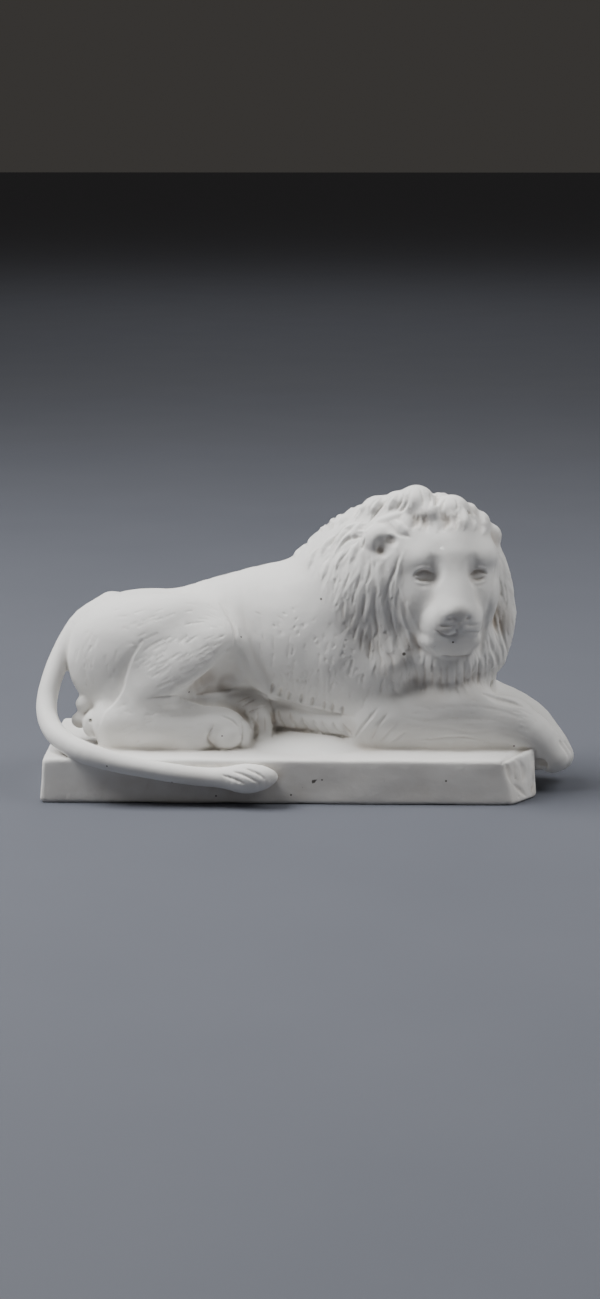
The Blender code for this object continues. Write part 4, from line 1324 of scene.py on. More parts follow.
@dataclass(frozen=True)
class BodyStrokes:
    """The creases of the legs, the paws and the tail."""

    def hind(self) -> list[Stroke]:
        """The near hind leg and both hind paws."""
        return [
            *strokes(0.7, -0.8, ((241, 721), (243, 730), (242, 738), (240, 747))),
            *strokes(0.7, -0.8, ((249, 727), (250.5, 736), (249, 745))),
            *strokes(0.9, -1.2, ((214, 726), (210, 732), (208, 739), (211, 744), (216, 747))),
            *strokes(0.9, -0.6, ((219, 716), (227, 718), (234, 722), (239, 727))),
            *strokes(0.6, -0.5, ((236, 703), (246, 698), (252, 696)), ((240, 708), (250, 702), (256, 699))),
            *strokes(0.6, -0.5, ((247, 713), (255, 709), (262, 707)), ((258, 711), (257, 722), (258, 736))),
            *strokes(0.8, 0.5, ((254, 709), (260, 706), (266, 704))),
            *strokes(0.6, -0.4, ((264, 710), (265, 722), (264, 737))),
            *strokes(0.9, -0.45, ((146, 699), (160, 697), (175, 695.5), (190, 696))),
            Stroke(
                ((142, 642), (131, 659), (125, 676), (121, 690), (113, 702), (104, 711), (98, 728)),
                half_width=6,
                rise=-0.6,
                other_half_width=1.4,
            ),
            Stroke(
                ((180, 698), (195, 702), (208, 704.5), (222, 706), (236, 711), (246, 719), (251, 728)),
                half_width=0.9,
                rise=-1.3,
                other_half_width=4.0,
            ),
            Stroke(((198, 695), (213, 691.5), (235, 690), (255, 691.5), (265, 695)), 0.8, -1.3, 3.5),
            Stroke(((249, 715), (254, 724), (255, 733), (254.5, 741)), 0.7, -1.3, 2.2),
            Stroke(((267, 698), (272, 706), (273.5, 722), (272.5, 738)), 0.8, -1.0, 1.8),
            *strokes(1.6, -0.7, ((220, 604), (229, 616), (235, 630), (234, 644))),
            *strokes(0.6, -0.12, ((227, 634), (219, 638), (210, 640)), ((222, 643), (213, 646), (205, 647))),
            *strokes(0.6, -0.12, ((215, 652), (207, 655), (199, 655)), ((207, 661), (200, 665), (192, 668))),
            *strokes(0.6, -0.12, ((197, 668), (190, 673), (183, 675)), ((172, 657), (165, 662), (157, 666))),
            *strokes(0.6, -0.12, ((166, 668), (158, 673), (150, 678)), ((184, 652), (176, 655), (169, 661))),
            *strokes(1.0, -1.6, ((90, 719.6), (90, 721.8))),
        ]

    def fore(self) -> list[Stroke]:
        """The elbow's tuft and the long low waves of the forearm."""
        return [
            *strokes(1.0, -0.4, ((378, 708), (370, 718), (362, 728), (354, 739))),
            *strokes(1.0, -0.4, ((388, 714), (378, 726), (370, 741))),
            *strokes(0.9, -0.35, ((399, 722), (389, 731), (380, 743)), ((408, 730), (398, 737), (390, 744))),
            *strokes(1.3, -0.2, ((400, 716), (430, 722), (470, 718), (505, 722))),
            *strokes(1.3, -0.2, ((480, 707), (505, 712), (525, 720))),
            *strokes(1.3, -0.25, ((410, 731), (440, 727), (475, 733), (510, 728))),
            *strokes(1.3, -0.25, ((500, 733), (520, 737), (535, 748))),
            *strokes(0.8, -0.3, ((420, 741), (455, 737), (490, 741))),
            Stroke(((484, 694), (498, 698), (510, 701), (522, 706)), 4, -1.0, 1.2),
        ]

    def tail(self) -> list[Stroke]:
        """Three slanting grooves in the tuft."""
        return [
            *strokes(0.8, -0.8, ((222, 775), (234, 779), (246, 784)), ((232, 771), (246, 776), (259, 783))),
            *strokes(0.8, -0.8, ((244, 768), (256, 773), (265, 779))),
        ]

    def comb(self) -> list[Stroke]:
        """The short upright cuts along the top of the belly's roll."""
        places = [(271, 688), (279, 693), (287, 696), (300, 699)]
        places += [(311, 702), (323, 706), (331, 708), (341, 711)]
        return [Stroke(((x + 2, y - 5), (x, y + 5)), 1.1, -1.3) for x, y in places]

    def under_the_roll(self) -> list[Stroke]:
        """The crease above the belly's roll and the sharp line where it meets the mound."""
        below = ((273, 728), (300, 731.5), (330, 734.5), (353, 737.5))
        above = ((268, 697), (285, 702), (305, 707), (330, 712), (355, 717))
        left = ((278, 709), (280, 720), (286, 728)), ((272, 704), (272, 716), (274, 728))
        middle = ((290, 713), (292, 721), (297, 729)), ((302, 717), (304, 724), (309, 731))
        right = ((313, 719), (315, 726), (320, 732)), ((322, 721), (325, 727), (330, 733))
        last = ((333, 722), (336, 728), (342, 734)), ((343, 724), (347, 730), (352, 735))
        rolls = strokes(1.3, -0.7, *left, *middle, *right, *last)
        return strokes(1.0, -0.8, below) + strokes(1.6, -0.6, above) + rolls

    def corner(self) -> list[Stroke]:
        """The rough break at the plinth's corner."""
        return [
            *strokes(2.4, -1.0, ((502, 763), (511, 756), (520, 751), (531, 748))),
            *strokes(2.6, -0.6, ((506, 764), (509, 772), (511, 782)), ((520, 762), (524, 772), (523, 782))),
            *strokes(2.0, 0.5, ((514, 760), (517, 768), (516, 780)), ((529, 758), (530, 772), (529, 786))),
            *strokes(1.8, -0.5, ((514, 785), (520, 790), (526, 796)), ((509, 754), (516, 752), (523, 756))),
            *strokes(1.4, -0.7, ((532, 752), (533, 760), (531, 767)), ((533, 776), (534, 784), (532, 792))),
        ]

    def every(self) -> list[Stroke]:
        """All strokes of the body."""
        return self.hind() + self.fore() + self.tail() + self.comb() + self.under_the_roll() + self.corner()


class Sculptor:
    """Lays drawn strokes on the skin."""

    taper_part = 0.3
    blunt_end = 0.12

    def __init__(self, skin: Skin, drawn: Sequence[Stroke]) -> None:
        """Finds every stroke's place on the skin.

        Args:
            skin: The surface.
            drawn: The strokes.
        """
        self.drawn = drawn
        lines = [stroke.path() for stroke in drawn]
        ends = np.cumsum([len(line) for line in lines])[:-1]
        self.paths = np.split(VIEW.onto(skin, np.vstack(lines)), ends)

    def guides(self, count: int) -> Array:
        """Places and ways along the first strokes, for the hair to follow.

        Args:
            count: How many strokes to take.

        Returns:
            A place and a way in each row.
        """
        rows = []
        for path in self.paths[:count]:
            ways = unit_rows(path[1:] - path[:-1])
            rows.append(np.hstack([(path[1:] + path[:-1]) / 2, ways]))
        return np.vstack(rows)

    def heights(self, points: Array) -> Array:
        """How far the strokes raise or press each point.

        Args:
            points: Places on the skin.

        Returns:
            The heights in metres.
        """
        raised, pressed = np.zeros(len(points)), np.zeros(len(points))
        for stroke, path in zip(self.drawn, self.paths):
            reach = stroke.half_width * CANON.unit
            widest = max(stroke.half_width, stroke.other_half_width or 0) * CANON.unit
            low, high = path.min(0) - widest, path.max(0) + widest
            near = np.flatnonzero(((points > low) & (points < high)).all(1))
            if not len(near):
                continue
            aside = np.full(len(near), FAR_AWAY)
            along, left = np.zeros(len(near)), np.zeros(len(near), bool)
            for i, way, t, away in against_path(path, points[near]):
                length = np.linalg.norm(away, axis=1)
                closer = length < aside
                aside = np.where(closer, length, aside)
                along = np.where(closer, (i + t) / (len(path) - 1), along)
                left = np.where(closer, away @ np.cross(VIEW.back, way) > 0, left)
            taper = np.sqrt(np.clip(np.minimum(along, 1 - along) / self.taper_part, self.blunt_end, 1))
            other = (stroke.other_half_width or stroke.half_width) * CANON.unit
            across = np.clip(aside / (np.where(left, other, reach) * taper), 0, 1)
            own = (1 - across**2) ** 2 * taper * stroke.rise * CANON.unit
            if stroke.rise > 0:
                raised[near] = np.maximum(raised[near], own)
            else:
                pressed[near] = np.minimum(pressed[near], own)
        return raised + pressed


@dataclass(frozen=True)
class Spot:
    """A soft round patch on the front view: its place there, its radius in canon units and its strength."""

    x: float
    y: float
    radius: float
    strength: float = 1.0


def spots(*rows: tuple[float, ...]) -> list[Spot]:
    """Patches from rows of place, radius and strength."""
    return [Spot(*row) for row in rows]


class Painter:
    """Lays soft patches on the skin."""

    whole_part = 0.35
    out_of_reach = 99.0

    def __init__(self, skin: Skin, patches: Sequence[Spot]) -> None:
        """Finds every patch's place on the skin."""
        self.patches = patches
        self.places = VIEW.onto(skin, np.array([(patch.x, patch.y) for patch in patches]))

    def values(self, points: Array) -> Array:
        """The strongest patch at each point, from 0 to 1."""
        values = np.zeros(len(points))
        for patch, place in zip(self.patches, self.places):
            away = np.linalg.norm(points - place, axis=1) / (patch.radius * CANON.unit)
            values = np.maximum(values, patch.strength * (1 - ramp(away, self.whole_part, 1)))
        return values

    def offsets(self, points: Array) -> Array:
        """How far each point lies from its nearest patch, as a vector in that patch's radii."""
        offsets = np.full((len(points), 3), self.out_of_reach)
        least = np.full(len(points), self.out_of_reach)
        for patch, place in zip(self.patches, self.places):
            own = (points - place) / (patch.radius * CANON.unit)
            length = np.linalg.norm(own, axis=1)
            closer = length < least
            offsets[closer] = own[closer]
            least = np.minimum(least, length)
        return offsets


@dataclass(frozen=True)
class Coat:
    """Where the fur is stroked, which way it lies, and where the clay is pitted."""

    reach: float = 9.0

    def ways(self) -> list[Stroke]:
        """Lines that the fur's strokes follow, as the places of their ends."""
        thigh = (150, 677, 166, 664), (184, 670, 204, 656), (203, 649, 224, 636), (136, 642, 156, 632)
        upper = (170, 622, 196, 612), (205, 606, 224, 618), (110, 610, 138, 603), (250, 600, 280, 596)
        rump = (82, 640, 76, 664), (101, 650, 98, 676), (112, 628, 105, 650), (84, 676, 82, 700)
        foot = (116, 732, 144, 722), (160, 717, 192, 715), (150, 741, 190, 738), (135, 705, 160, 700)
        flank = (250, 620, 262, 632), (280, 650, 278, 666), (300, 640, 296, 656), (330, 610, 322, 626)
        shoulder = (360, 676, 355, 694), (280, 680, 276, 695), (310, 690, 306, 702), (340, 650, 336, 668)
        arm = (400, 716, 440, 720), (470, 716, 510, 722), (540, 724, 568, 746), (420, 736, 480, 735)
        tail = (46, 660, 50, 692), (54, 708, 72, 738), (110, 757, 160, 770), (180, 774, 215, 778)
        every = (*thigh, *upper, *rump, *foot, *flank, *shoulder, *arm, *tail)
        return [Stroke(((x, y), (to_x, to_y)), 1, 0) for x, y, to_x, to_y in every]

    def stroked(self) -> list[Spot]:
        """Where short strokes lie."""
        leg = spots((205, 652, 14, 0.6), (185, 668, 14, 0.6), (160, 668, 12, 0.5), (150, 640, 16, 0.3))
        leg += spots((205, 690, 8, 0.5), (190, 620, 20, 0.25), (140, 600, 20, 0.2))
        foot = spots((140, 722, 14, 0.45), (175, 722, 14, 0.45), (200, 735, 10, 0.4))
        rump = spots((84, 655, 12, 0.6), (100, 670, 12, 0.4), (80, 680, 9, 0.5))
        flank = spots((300, 690, 14, 0.6), (340, 680, 16, 0.8), (370, 690, 12, 0.6), (265, 640, 14, 0.3))
        arm = spots((420, 725, 14, 0.5), (470, 722, 14, 0.5), (520, 722, 12, 0.5), (550, 740, 9, 0.7))
        return leg + foot + rump + flank + arm + spots((245, 705, 5, 0.8), (262, 720, 5, 0.6))

    def pitted(self) -> list[Spot]:
        """Where small pits lie."""
        side = spots((300, 640, 20, 0.6), (320, 600, 18, 0.4), (340, 650, 16), (290, 670, 14, 0.9))
        low = spots((370, 650, 12, 0.6), (520, 780, 9), (508, 752, 6), (85, 665, 12, 0.6), (250, 710, 7))
        return side + low + spots((150, 740, 10, 0.4), (230, 640, 7, 0.8))


@dataclass(frozen=True)
class WearAndPaintedShade:
    """What kiln and handling left on the casting, and brown patches of painted shade."""

    def pinholes(self) -> list[Spot]:
        """Open pinholes; the dark inside them is painted shade."""
        large = spots((404, 654, 0.85), (453, 642, 0.5), (321, 599, 0.5), (90, 720.5, 0.9))
        body = spots((241, 637, 0.45), (222, 736, 0.4), (189, 692, 0.4), (255, 730, 0.5))
        front = spots((313, 781, 0.5), (317, 784, 0.35), (322, 780, 0.4), (312, 786, 0.35))
        front += spots((291, 795, 0.45), (216, 796, 0.45), (222, 799, 0.35), (446, 781, 0.45))
        corner = spots((516, 755, 0.5), (514, 746, 0.4), (172, 782, 0.4), (107, 766, 0.4))
        return large + body + front + corner

    def stains_and_painted_shade(self) -> list[Spot]:
        """Brown tints, partly real staining and mostly painted shade."""
        # Painted shade in the eyes, under the crown's tufts, in the ear cups, at the mouth, under the nose
        # and under the chin.
        head = spots((424, 575, 4.4, 0.35), (478, 575, 4.4, 0.35), (421, 520, 6, 0.45), (452, 521, 6.5, 0.45))
        head += spots((442, 630, 4, 0.35), (460, 619, 6, 0.3), (378, 548, 5, 0.3), (495, 538, 5, 0.7))
        head += spots((474, 511, 4, 0.5), (480, 640, 5, 0.2), (462, 650, 10, 0.25))
        # Brown patches in the neck's mane, partly staining and partly painted shade; painted shade in the
        # grooves beside the cheeks and under the beard.
        mane = spots((352, 620, 9, 0.35), (372, 640, 10, 0.4), (392, 665, 10, 0.35), (500, 620, 9, 0.6))
        mane += spots((430, 685, 13, 0.45), (470, 685, 11, 0.4), (412, 645, 6, 0.4), (408, 606, 7, 0.4))
        # Painted shade in the hollow by the knee, under the thigh and round the paws; the line under the
        # belly's roll and the glands are stained.
        legs = spots((228, 684, 6, 0.45), (200, 682, 10, 0.5), (245, 706, 8, 0.5), (262, 726, 5, 0.4))
        legs += spots((282, 720, 7, 0.65), (349, 727, 5, 0.6), (78, 727, 4, 0.8), (95, 735, 4, 0.4))
        # Painted shade on the broken corner's edge and down the plinth's front.
        low = spots((534, 770, 4, 0.8), (534, 790, 4, 0.7), (190, 780, 9, 0.3), (270, 786, 6, 0.3))
        low += [Spot(x, 788, 18, 0.4) for x in range(290, 510, 24)]
        low += [Spot(x, 800, 13, 0.4) for x in range(60, 290, 22)]
        # The last three patches are painted shade where the forearm, the near foot and the belly's roll meet
        # the plinth.
        return head + mane + legs + low + spots((370, 742, 8, 0.2), (210, 742, 4, 0.3), (300, 733, 8, 0.3))


class Graph:
    """A node tree under construction."""

    def __init__(self, tree: bpy.types.NodeTree) -> None:
        """Keeps the tree."""
        self.tree = tree

    def socket(self, name: str, kind: str, out: bool = False) -> None:
        """Adds a named socket to the tree's interface.

        Args:
            name: Its name.
            kind: Its type's last word, such as Float.
            out: Whether it is an output.
        """
        way = "OUTPUT" if out else "INPUT"
        self.tree.interface.new_socket(name, in_out=way, socket_type=f"NodeSocket{kind}")

    def node(self, kind: str, values: dict[str | int, Any] | None = None, **settings: Any) -> bpy.types.Node:
        """Adds a node.

        Args:
            kind: Its type.
            values: What each input is set to, or the socket that it is linked from.
            settings: The node's own settings.

        Returns:
            The node.
        """
        node = self.tree.nodes.new(kind)
        for name, value in settings.items():
            setattr(node, name, value)
        for key, value in (values or {}).items():
            if isinstance(value, bpy.types.NodeSocket):
                self.tree.links.new(value, node.inputs[key])
            else:
                node.inputs[key].default_value = value
        return node

    def math(self, operation: str, a: Any, b: Any, **settings: Any) -> bpy.types.NodeSocket:
        """The result of one operation on two values, each a number or a socket."""
        return self.node("ShaderNodeMath", {0: a, 1: b}, operation=operation, **settings).outputs[0]

    def times(self, a: Any, b: Any, **settings: Any) -> bpy.types.NodeSocket:
        """The product of two values."""
        return self.math("MULTIPLY", a, b, **settings)

    def mixed(self, share: Any, a: Any, b: Any) -> bpy.types.NodeSocket:
        """A colour with a share of another in it."""
        return self.node("ShaderNodeMix", {0: share, 6: a, 7: b}, data_type="RGBA").outputs[2]

    def spread(self, value: Any, given: Pair, wanted: Pair) -> bpy.types.NodeSocket:
        """A value of one range brought to another."""
        values = {0: value, 1: given[0], 2: given[1], 3: wanted[0], 4: wanted[1]}
        return self.node("ShaderNodeMapRange", values).outputs[0]

    def noise(self, place: Any, scale: Any, detail: float) -> bpy.types.NodeSocket:
        """A soft noise from 0 to 1."""
        return self.node("ShaderNodeTexNoise", {"Vector": place, "Scale": scale, "Detail": detail}).outputs[0]

    def noted(self, name: str, output: str = "Fac") -> bpy.types.NodeSocket:
        """What was written on the mesh under a name."""
        return self.node("ShaderNodeAttribute", attribute_name=name).outputs[output]


@dataclass(frozen=True)
class Marks:
    """Marks of one kind that Geometry Nodes scatter over the skin and press into it. Sizes are metres."""

    where: str
    density: float
    length: float
    width: float
    depth: float
    seed: int
    way: str = "fur_way"
    length_spread = (0.5, 1.3)
    patch_scale = 140.0

    @staticmethod
    def tree() -> bpy.types.NodeTree:
        """Builds the tree that all kinds of marks share."""
        tree = bpy.data.node_groups.new("pressed_marks", "GeometryNodeTree")
        graph = Graph(tree)
        kinds = {"Geometry": "Geometry", "Where": "String", "Way": "String", "Density": "Float"}
        kinds |= {"Length": "Float", "Width": "Float", "Depth": "Float"}
        kinds |= {"Seed": "Int", "Material": "Material"}
        for name, kind in kinds.items():
            graph.socket(name, kind)
        graph.socket("Geometry", "Geometry", out=True)
        given = graph.node("NodeGroupInput").outputs
        named = "GeometryNodeInputNamedAttribute"
        where = graph.node(named, {"Name": given["Where"]}, data_type="FLOAT").outputs["Attribute"]
        way = graph.node(named, {"Name": given["Way"]}, data_type="FLOAT_VECTOR").outputs["Attribute"]
        density = graph.times(where, given["Density"])
        spread = {"Mesh": given["Geometry"], "Density": density, "Seed": given["Seed"]}
        places = graph.node("GeometryNodeDistributePointsOnFaces", spread).outputs["Points"]
        turner = graph.node("FunctionNodeAlignRotationToVector", {"Vector": way}, axis="X")
        shortest, longest = Marks.length_spread
        vary = {2: shortest, 3: longest}
        varied = graph.node("FunctionNodeRandomValue", vary, data_type="FLOAT").outputs[1]
        long = graph.times(varied, given["Length"])
        size = graph.node("ShaderNodeCombineXYZ", {"X": long, "Y": 1.0, "Z": 1.0}).outputs[0]
        ends = {"Count": 2, "Start Location": (-0.5, 0, 0), "Offset": (0.5, 0, 0)}
        line = graph.node("GeometryNodeMeshLine", ends, mode="END_POINTS").outputs[0]
        put = {"Points": places, "Instance": line, "Rotation": turner.outputs["Rotation"], "Scale": size}
        instances = graph.node("GeometryNodeInstanceOnPoints", put).outputs[0]
        lines = graph.node("GeometryNodeRealizeInstances", {0: instances}).outputs[0]
        away = graph.node("GeometryNodeProximity", {0: lines}, target_element="EDGES").outputs["Distance"]
        share = {"Value": away, "From Min": 0.0, "From Max": given["Width"], "To Min": 1.0, "To Max": 0.0}
        profile = graph.node("ShaderNodeMapRange", share, interpolation_type="SMOOTHSTEP").outputs["Result"]
        patchy = graph.node("ShaderNodeTexNoise", {"Scale": Marks.patch_scale, "Detail": 1.0}).outputs[0]
        push = graph.times(graph.times(profile, patchy), graph.times(given["Depth"], -2.0))
        normal = graph.node("GeometryNodeInputNormal").outputs[0]
        offset = graph.node("ShaderNodeVectorMath", {0: normal, "Scale": push}, operation="SCALE").outputs[0]
        shift = {"Geometry": given["Geometry"], "Offset": offset}
        moved = graph.node("GeometryNodeSetPosition", shift).outputs[0]
        real = graph.node("GeometryNodeRealizeInstances", {0: moved}).outputs[0]
        dress = {"Geometry": real, "Material": given["Material"]}
        dressed = graph.node("GeometryNodeSetMaterial", dress).outputs[0]
        graph.node("NodeGroupOutput", {0: dressed})
        return tree

    def inputs(self, material: bpy.types.Material) -> dict[str, Any]:
        """What the tree's named inputs are set to, with the material that the skin is dressed in."""
        sizes = {"Density": self.density, "Length": self.length, "Width": self.width, "Depth": self.depth}
        return sizes | {"Where": self.where, "Way": self.way, "Seed": self.seed, "Material": material}


def hollow_shade_mask(mesh: bpy.types.Mesh) -> Array:
    """How deep each point lies in a hollow, measured by rounds of smoothing; the porcelain paints shade into
    its hollows by it.

    Args:
        mesh: The mesh.

    Returns:
        0 on flats and ridges, up to 1 in deep hollows.
    """
    edges = np.empty(len(mesh.edges) * 2, np.int32)
    mesh.edges.foreach_get("vertices", edges)
    a, b = edges.reshape(-1, 2).T
    points = points_of(mesh)
    normals = np.empty(len(points) * 3, np.float32)
    mesh.vertices.foreach_get("normal", normals)
    normals = normals.reshape(-1, 3)
    count = len(points)
    linked = np.maximum(np.bincount(a, minlength=count) + np.bincount(b, minlength=count), 1)[:, None]
    smooth, hollow = points.copy(), np.zeros(count)
    for step in range(1, max(HOLLOW_ROUNDS) + 1):
        ends = [np.bincount(a, smooth[b, k], count) + np.bincount(b, smooth[a, k], count) for k in range(3)]
        smooth = (smooth + np.stack(ends, 1) / linked) / 2
        if step in HOLLOW_ROUNDS:
            sunk = ((smooth - points) * normals).sum(1) / (HOLLOW_DEPTH * math.sqrt(step / HOLLOW_DEPTH_AT))
            hollow = np.maximum(hollow, np.clip(sunk, 0, 1))
    return hollow


def in_scene(made: bpy.types.Object) -> bpy.types.Object:
    """The new object, put in the scene."""
    bpy.context.scene.collection.objects.link(made)
    return made


def modified(mesh: bpy.types.Mesh, kind: str, values: dict[str, Any], **settings: Any) -> bpy.types.Mesh:
    """The mesh as one modifier leaves it.

    Args:
        mesh: The mesh to change.
        kind: The modifier's type.
        values: What the named inputs of its node tree are set to.
        settings: Its other settings.

    Returns:
        The new mesh.
    """
    holder = in_scene(bpy.data.objects.new("holder", mesh))
    modifier = holder.modifiers.new(kind, kind)
    for name, value in settings.items():
        setattr(modifier, name, value)
    for socket in modifier.node_group.interface.items_tree if values else ():
        if socket.in_out == "INPUT" and socket.name in values:
            modifier[socket.identifier] = values[socket.name]
    result = bpy.data.meshes.new_from_object(holder.evaluated_get(bpy.context.evaluated_depsgraph_get()))
    holder.modifiers.remove(modifier)
    bpy.data.objects.remove(holder)
    return result


def points_of(mesh: bpy.types.Mesh) -> Array:
    """The mesh's points as an array."""
    points = np.empty(len(mesh.vertices) * 3, np.float32)
    mesh.vertices.foreach_get("co", points)
    return points.reshape(-1, 3).astype(float)


def move_points(mesh: bpy.types.Mesh, points: Array) -> None:
    """Gives the mesh's points new places."""
    mesh.vertices.foreach_set("co", points.astype(np.float32).ravel())
    mesh.update()


def note(mesh: bpy.types.Mesh, name: str, values: Array) -> None:
    """Writes a value for each point as a named attribute.

    Args:
        mesh: The mesh.
        name: The attribute's name.
        values: One number or one vector a point.
    """
    kind, entry = ("FLOAT", "value") if values.ndim == 1 else ("FLOAT_VECTOR", "vector")
    attribute = mesh.attributes.new(name, kind, "POINT")
    attribute.data.foreach_set(entry, values.astype(np.float32).ravel())


@dataclass(frozen=True)
class Lion:
    """The whole casting as one piece."""

    first_grid: float = 0.0011
    first_rounds: int = 7
    grid: float = 0.0006
    rounds: int = 2
    faces: int = 190_000
    waves: int = 20
    wave_lengths: Pair = (0.0045, 0.040)
    wave_share: float = 0.008
    wave_phases: float = 6.28
    wave_seed: int = 5
    least_mane: float = 0.02
    marks: tuple[Marks, ...] = (
        Marks("stroked", 150_000, 0.0040, 0.00056, 0.00015, 3),
        Marks("pitted", 50_000, 0.0009, 0.00060, 0.00026, 8),
    )
    mane: Mane = field(default_factory=Mane)

    def skin(self) -> Skin:
        """The surface melted from every mass."""
        parts = (Torso(), HindQuarters(), ForeQuarters(), Tail(), self.mane, Head(), Plinth())
        return Skin([mass for part in parts for mass in part.masses()])

    def uneven(self, points: Array) -> Array:
        """Slight waves over the whole skin, as a hand-finished casting has."""
        chance = np.random.default_rng(self.wave_seed)
        waves = np.zeros(len(points))
        for length in np.geomspace(*self.wave_lengths, self.waves):
            way = unit_rows(chance.normal(size=(1, 3)))[0]
            phase = chance.uniform(0, self.wave_phases)
            waves += np.sin(points @ way * 2 * math.pi / length + phase) * length
        return waves * self.wave_share / math.sqrt(self.waves)

    def shaped(self, skin: Skin, points: Array) -> Array:
        """Points of the bare skin moved out by the mane's locks, the strokes and the waves.

        Args:
            skin: The surface.
            points: Places on it.

        Returns:
            The moved places.
        """
        hair = ManeStrokes().every()
        sculptor = Sculptor(skin, hair + FaceStrokes().every() + BodyStrokes().every())
        heights = sculptor.heights(points) + self.uneven(points)
        LOG.info("%d strokes laid", len(sculptor.drawn))
        maned = np.flatnonzero(self.mane.grown(points) > self.least_mane)
        guides = sculptor.guides(len(hair))
        for style, crown in ((self.mane.falling, False), (self.mane.crowning, True)):
            heights[maned] += LockCutter(skin, self.mane, style, crown, guides).heights(points[maned])
        LOG.info("mane cut")
        moved = points + skin.outward(points) * heights[:, None]
        moved[:, 2] = np.maximum(moved[:, 2], 0)
        return moved

    def marked(self, skin: Skin, mesh: bpy.types.Mesh, material: bpy.types.Material) -> bpy.types.Mesh:
        """The mesh with the strokes of its fur and its pits, dressed.

        Args:
            skin: The surface.
            mesh: The shaped mesh.
            material: What it is dressed in.

        Returns:
            The marked mesh.
        """
        points = points_of(mesh)
        coat = Coat()
        guides = Sculptor(skin, coat.ways())
        rows = guides.guides(len(guides.drawn))
        ways = np.full(points.shape, 1e-9)
        for row in rows:
            away = np.linalg.norm(points - row[:3], axis=1) / (coat.reach * CANON.unit)
            ways += np.exp(-(away**2))[:, None] * row[3:]
        note(mesh, "fur_way", unit_rows(ways))
        note(mesh, "stroked", Painter(skin, coat.stroked()).values(points))
        note(mesh, "pitted", Painter(skin, coat.pitted()).values(points))
        tree = Marks.tree()
        for marks in self.marks:
            mesh = modified(mesh, "NODES", marks.inputs(material), node_group=tree)
        return mesh

    def build(self, material: bpy.types.Material) -> bpy.types.Object:
        """Makes the casting's mesh.

        Args:
            material: What it is dressed in.

        Returns:
            The finished object, at the origin.
        """
        skin = self.skin()
        mesh = modified(skin.blocked_out(), "REMESH", {}, mode="VOXEL", voxel_size=self.first_grid)
        move_points(mesh, skin.settle(points_of(mesh), self.first_rounds))
        mesh = modified(mesh, "REMESH", {}, mode="VOXEL", voxel_size=self.grid)
        points = skin.settle(points_of(mesh), self.rounds)
        LOG.info("skin settled: %d points", len(points))
        move_points(mesh, self.shaped(skin, points))
        mesh = self.marked(skin, mesh, material)
        LOG.info("marks pressed")
        triangles = 2 * len(mesh.polygons)
        if triangles > self.faces:
            share = self.faces / triangles
            mesh = modified(mesh, "DECIMATE", {}, ratio=share, use_collapse_triangulate=True)
        points = points_of(mesh)
        # Masks for painted shade: how deep each point lies in a hollow, the brown patches (partly staining)
        # and the pinholes.
        note(mesh, "hollow_shade_mask", hollow_shade_mask(mesh))
        note(mesh, "stain_and_shade", Painter(skin, WearAndPaintedShade().stains_and_painted_shade()).values(points))
        note(mesh, "pinhole", Painter(skin, WearAndPaintedShade().pinholes()).offsets(points))
        mesh.shade_smooth()
        return in_scene(bpy.data.objects.new("lion_casting", mesh))


def mottle_group() -> bpy.types.NodeTree:
    """A soft patchy mask and a slightly uneven normal, shared by the porcelain and the floor."""
    tree = bpy.data.node_groups.new("mottle", "ShaderNodeTree")
    graph = Graph(tree)
    for name in ("Scale", "Relief"):
        graph.socket(name, "Float")
    graph.socket("Mask", "Float", out=True)
    graph.socket("Normal", "Vector", out=True)
    given = graph.node("NodeGroupInput").outputs
    place = graph.node("ShaderNodeTexCoord").outputs["Object"]
    noise = graph.noise(place, given["Scale"], 4.0)
    grain = graph.noise(place, graph.times(given["Scale"], GRAIN_FINENESS), 2.0)
    both = graph.node("ShaderNodeMix", {0: GRAIN_SHARE, 2: noise, 3: grain}, data_type="FLOAT").outputs[0]
    relief = graph.node("ShaderNodeBump", {"Height": both, "Distance": given["Relief"]}).outputs["Normal"]
    graph.node("NodeGroupOutput", {"Mask": noise, "Normal": relief})
    return tree


class Finish:
    """A new material with its shader and the shared mottle."""

    def __init__(self, name: str, mottle: bpy.types.NodeTree, scale: float, relief: float) -> None:
        """Starts the material.

        Args:
            name: Its name.
            mottle: The shared group.
            scale: How fine the mottle is.
            relief: How far it stands up, in metres.
        """
        self.material = bpy.data.materials.new(name)
        self.material.use_nodes = True
        self.graph = Graph(self.material.node_tree)
        self.shader = self.material.node_tree.nodes["Principled BSDF"]
        self.mottle = self.graph.node("ShaderNodeGroup", {}, node_tree=mottle)
        self.mottle.inputs["Scale"].default_value = scale
        self.mottle.inputs["Relief"].default_value = relief

    def feed(self, name: str, value: bpy.types.NodeSocket | float) -> None:
        """Links a socket to one of the shader's inputs, or sets the input."""
        if isinstance(value, bpy.types.NodeSocket):
            self.material.node_tree.links.new(value, self.shader.inputs[name])
        else:
            self.shader.inputs[name].default_value = value


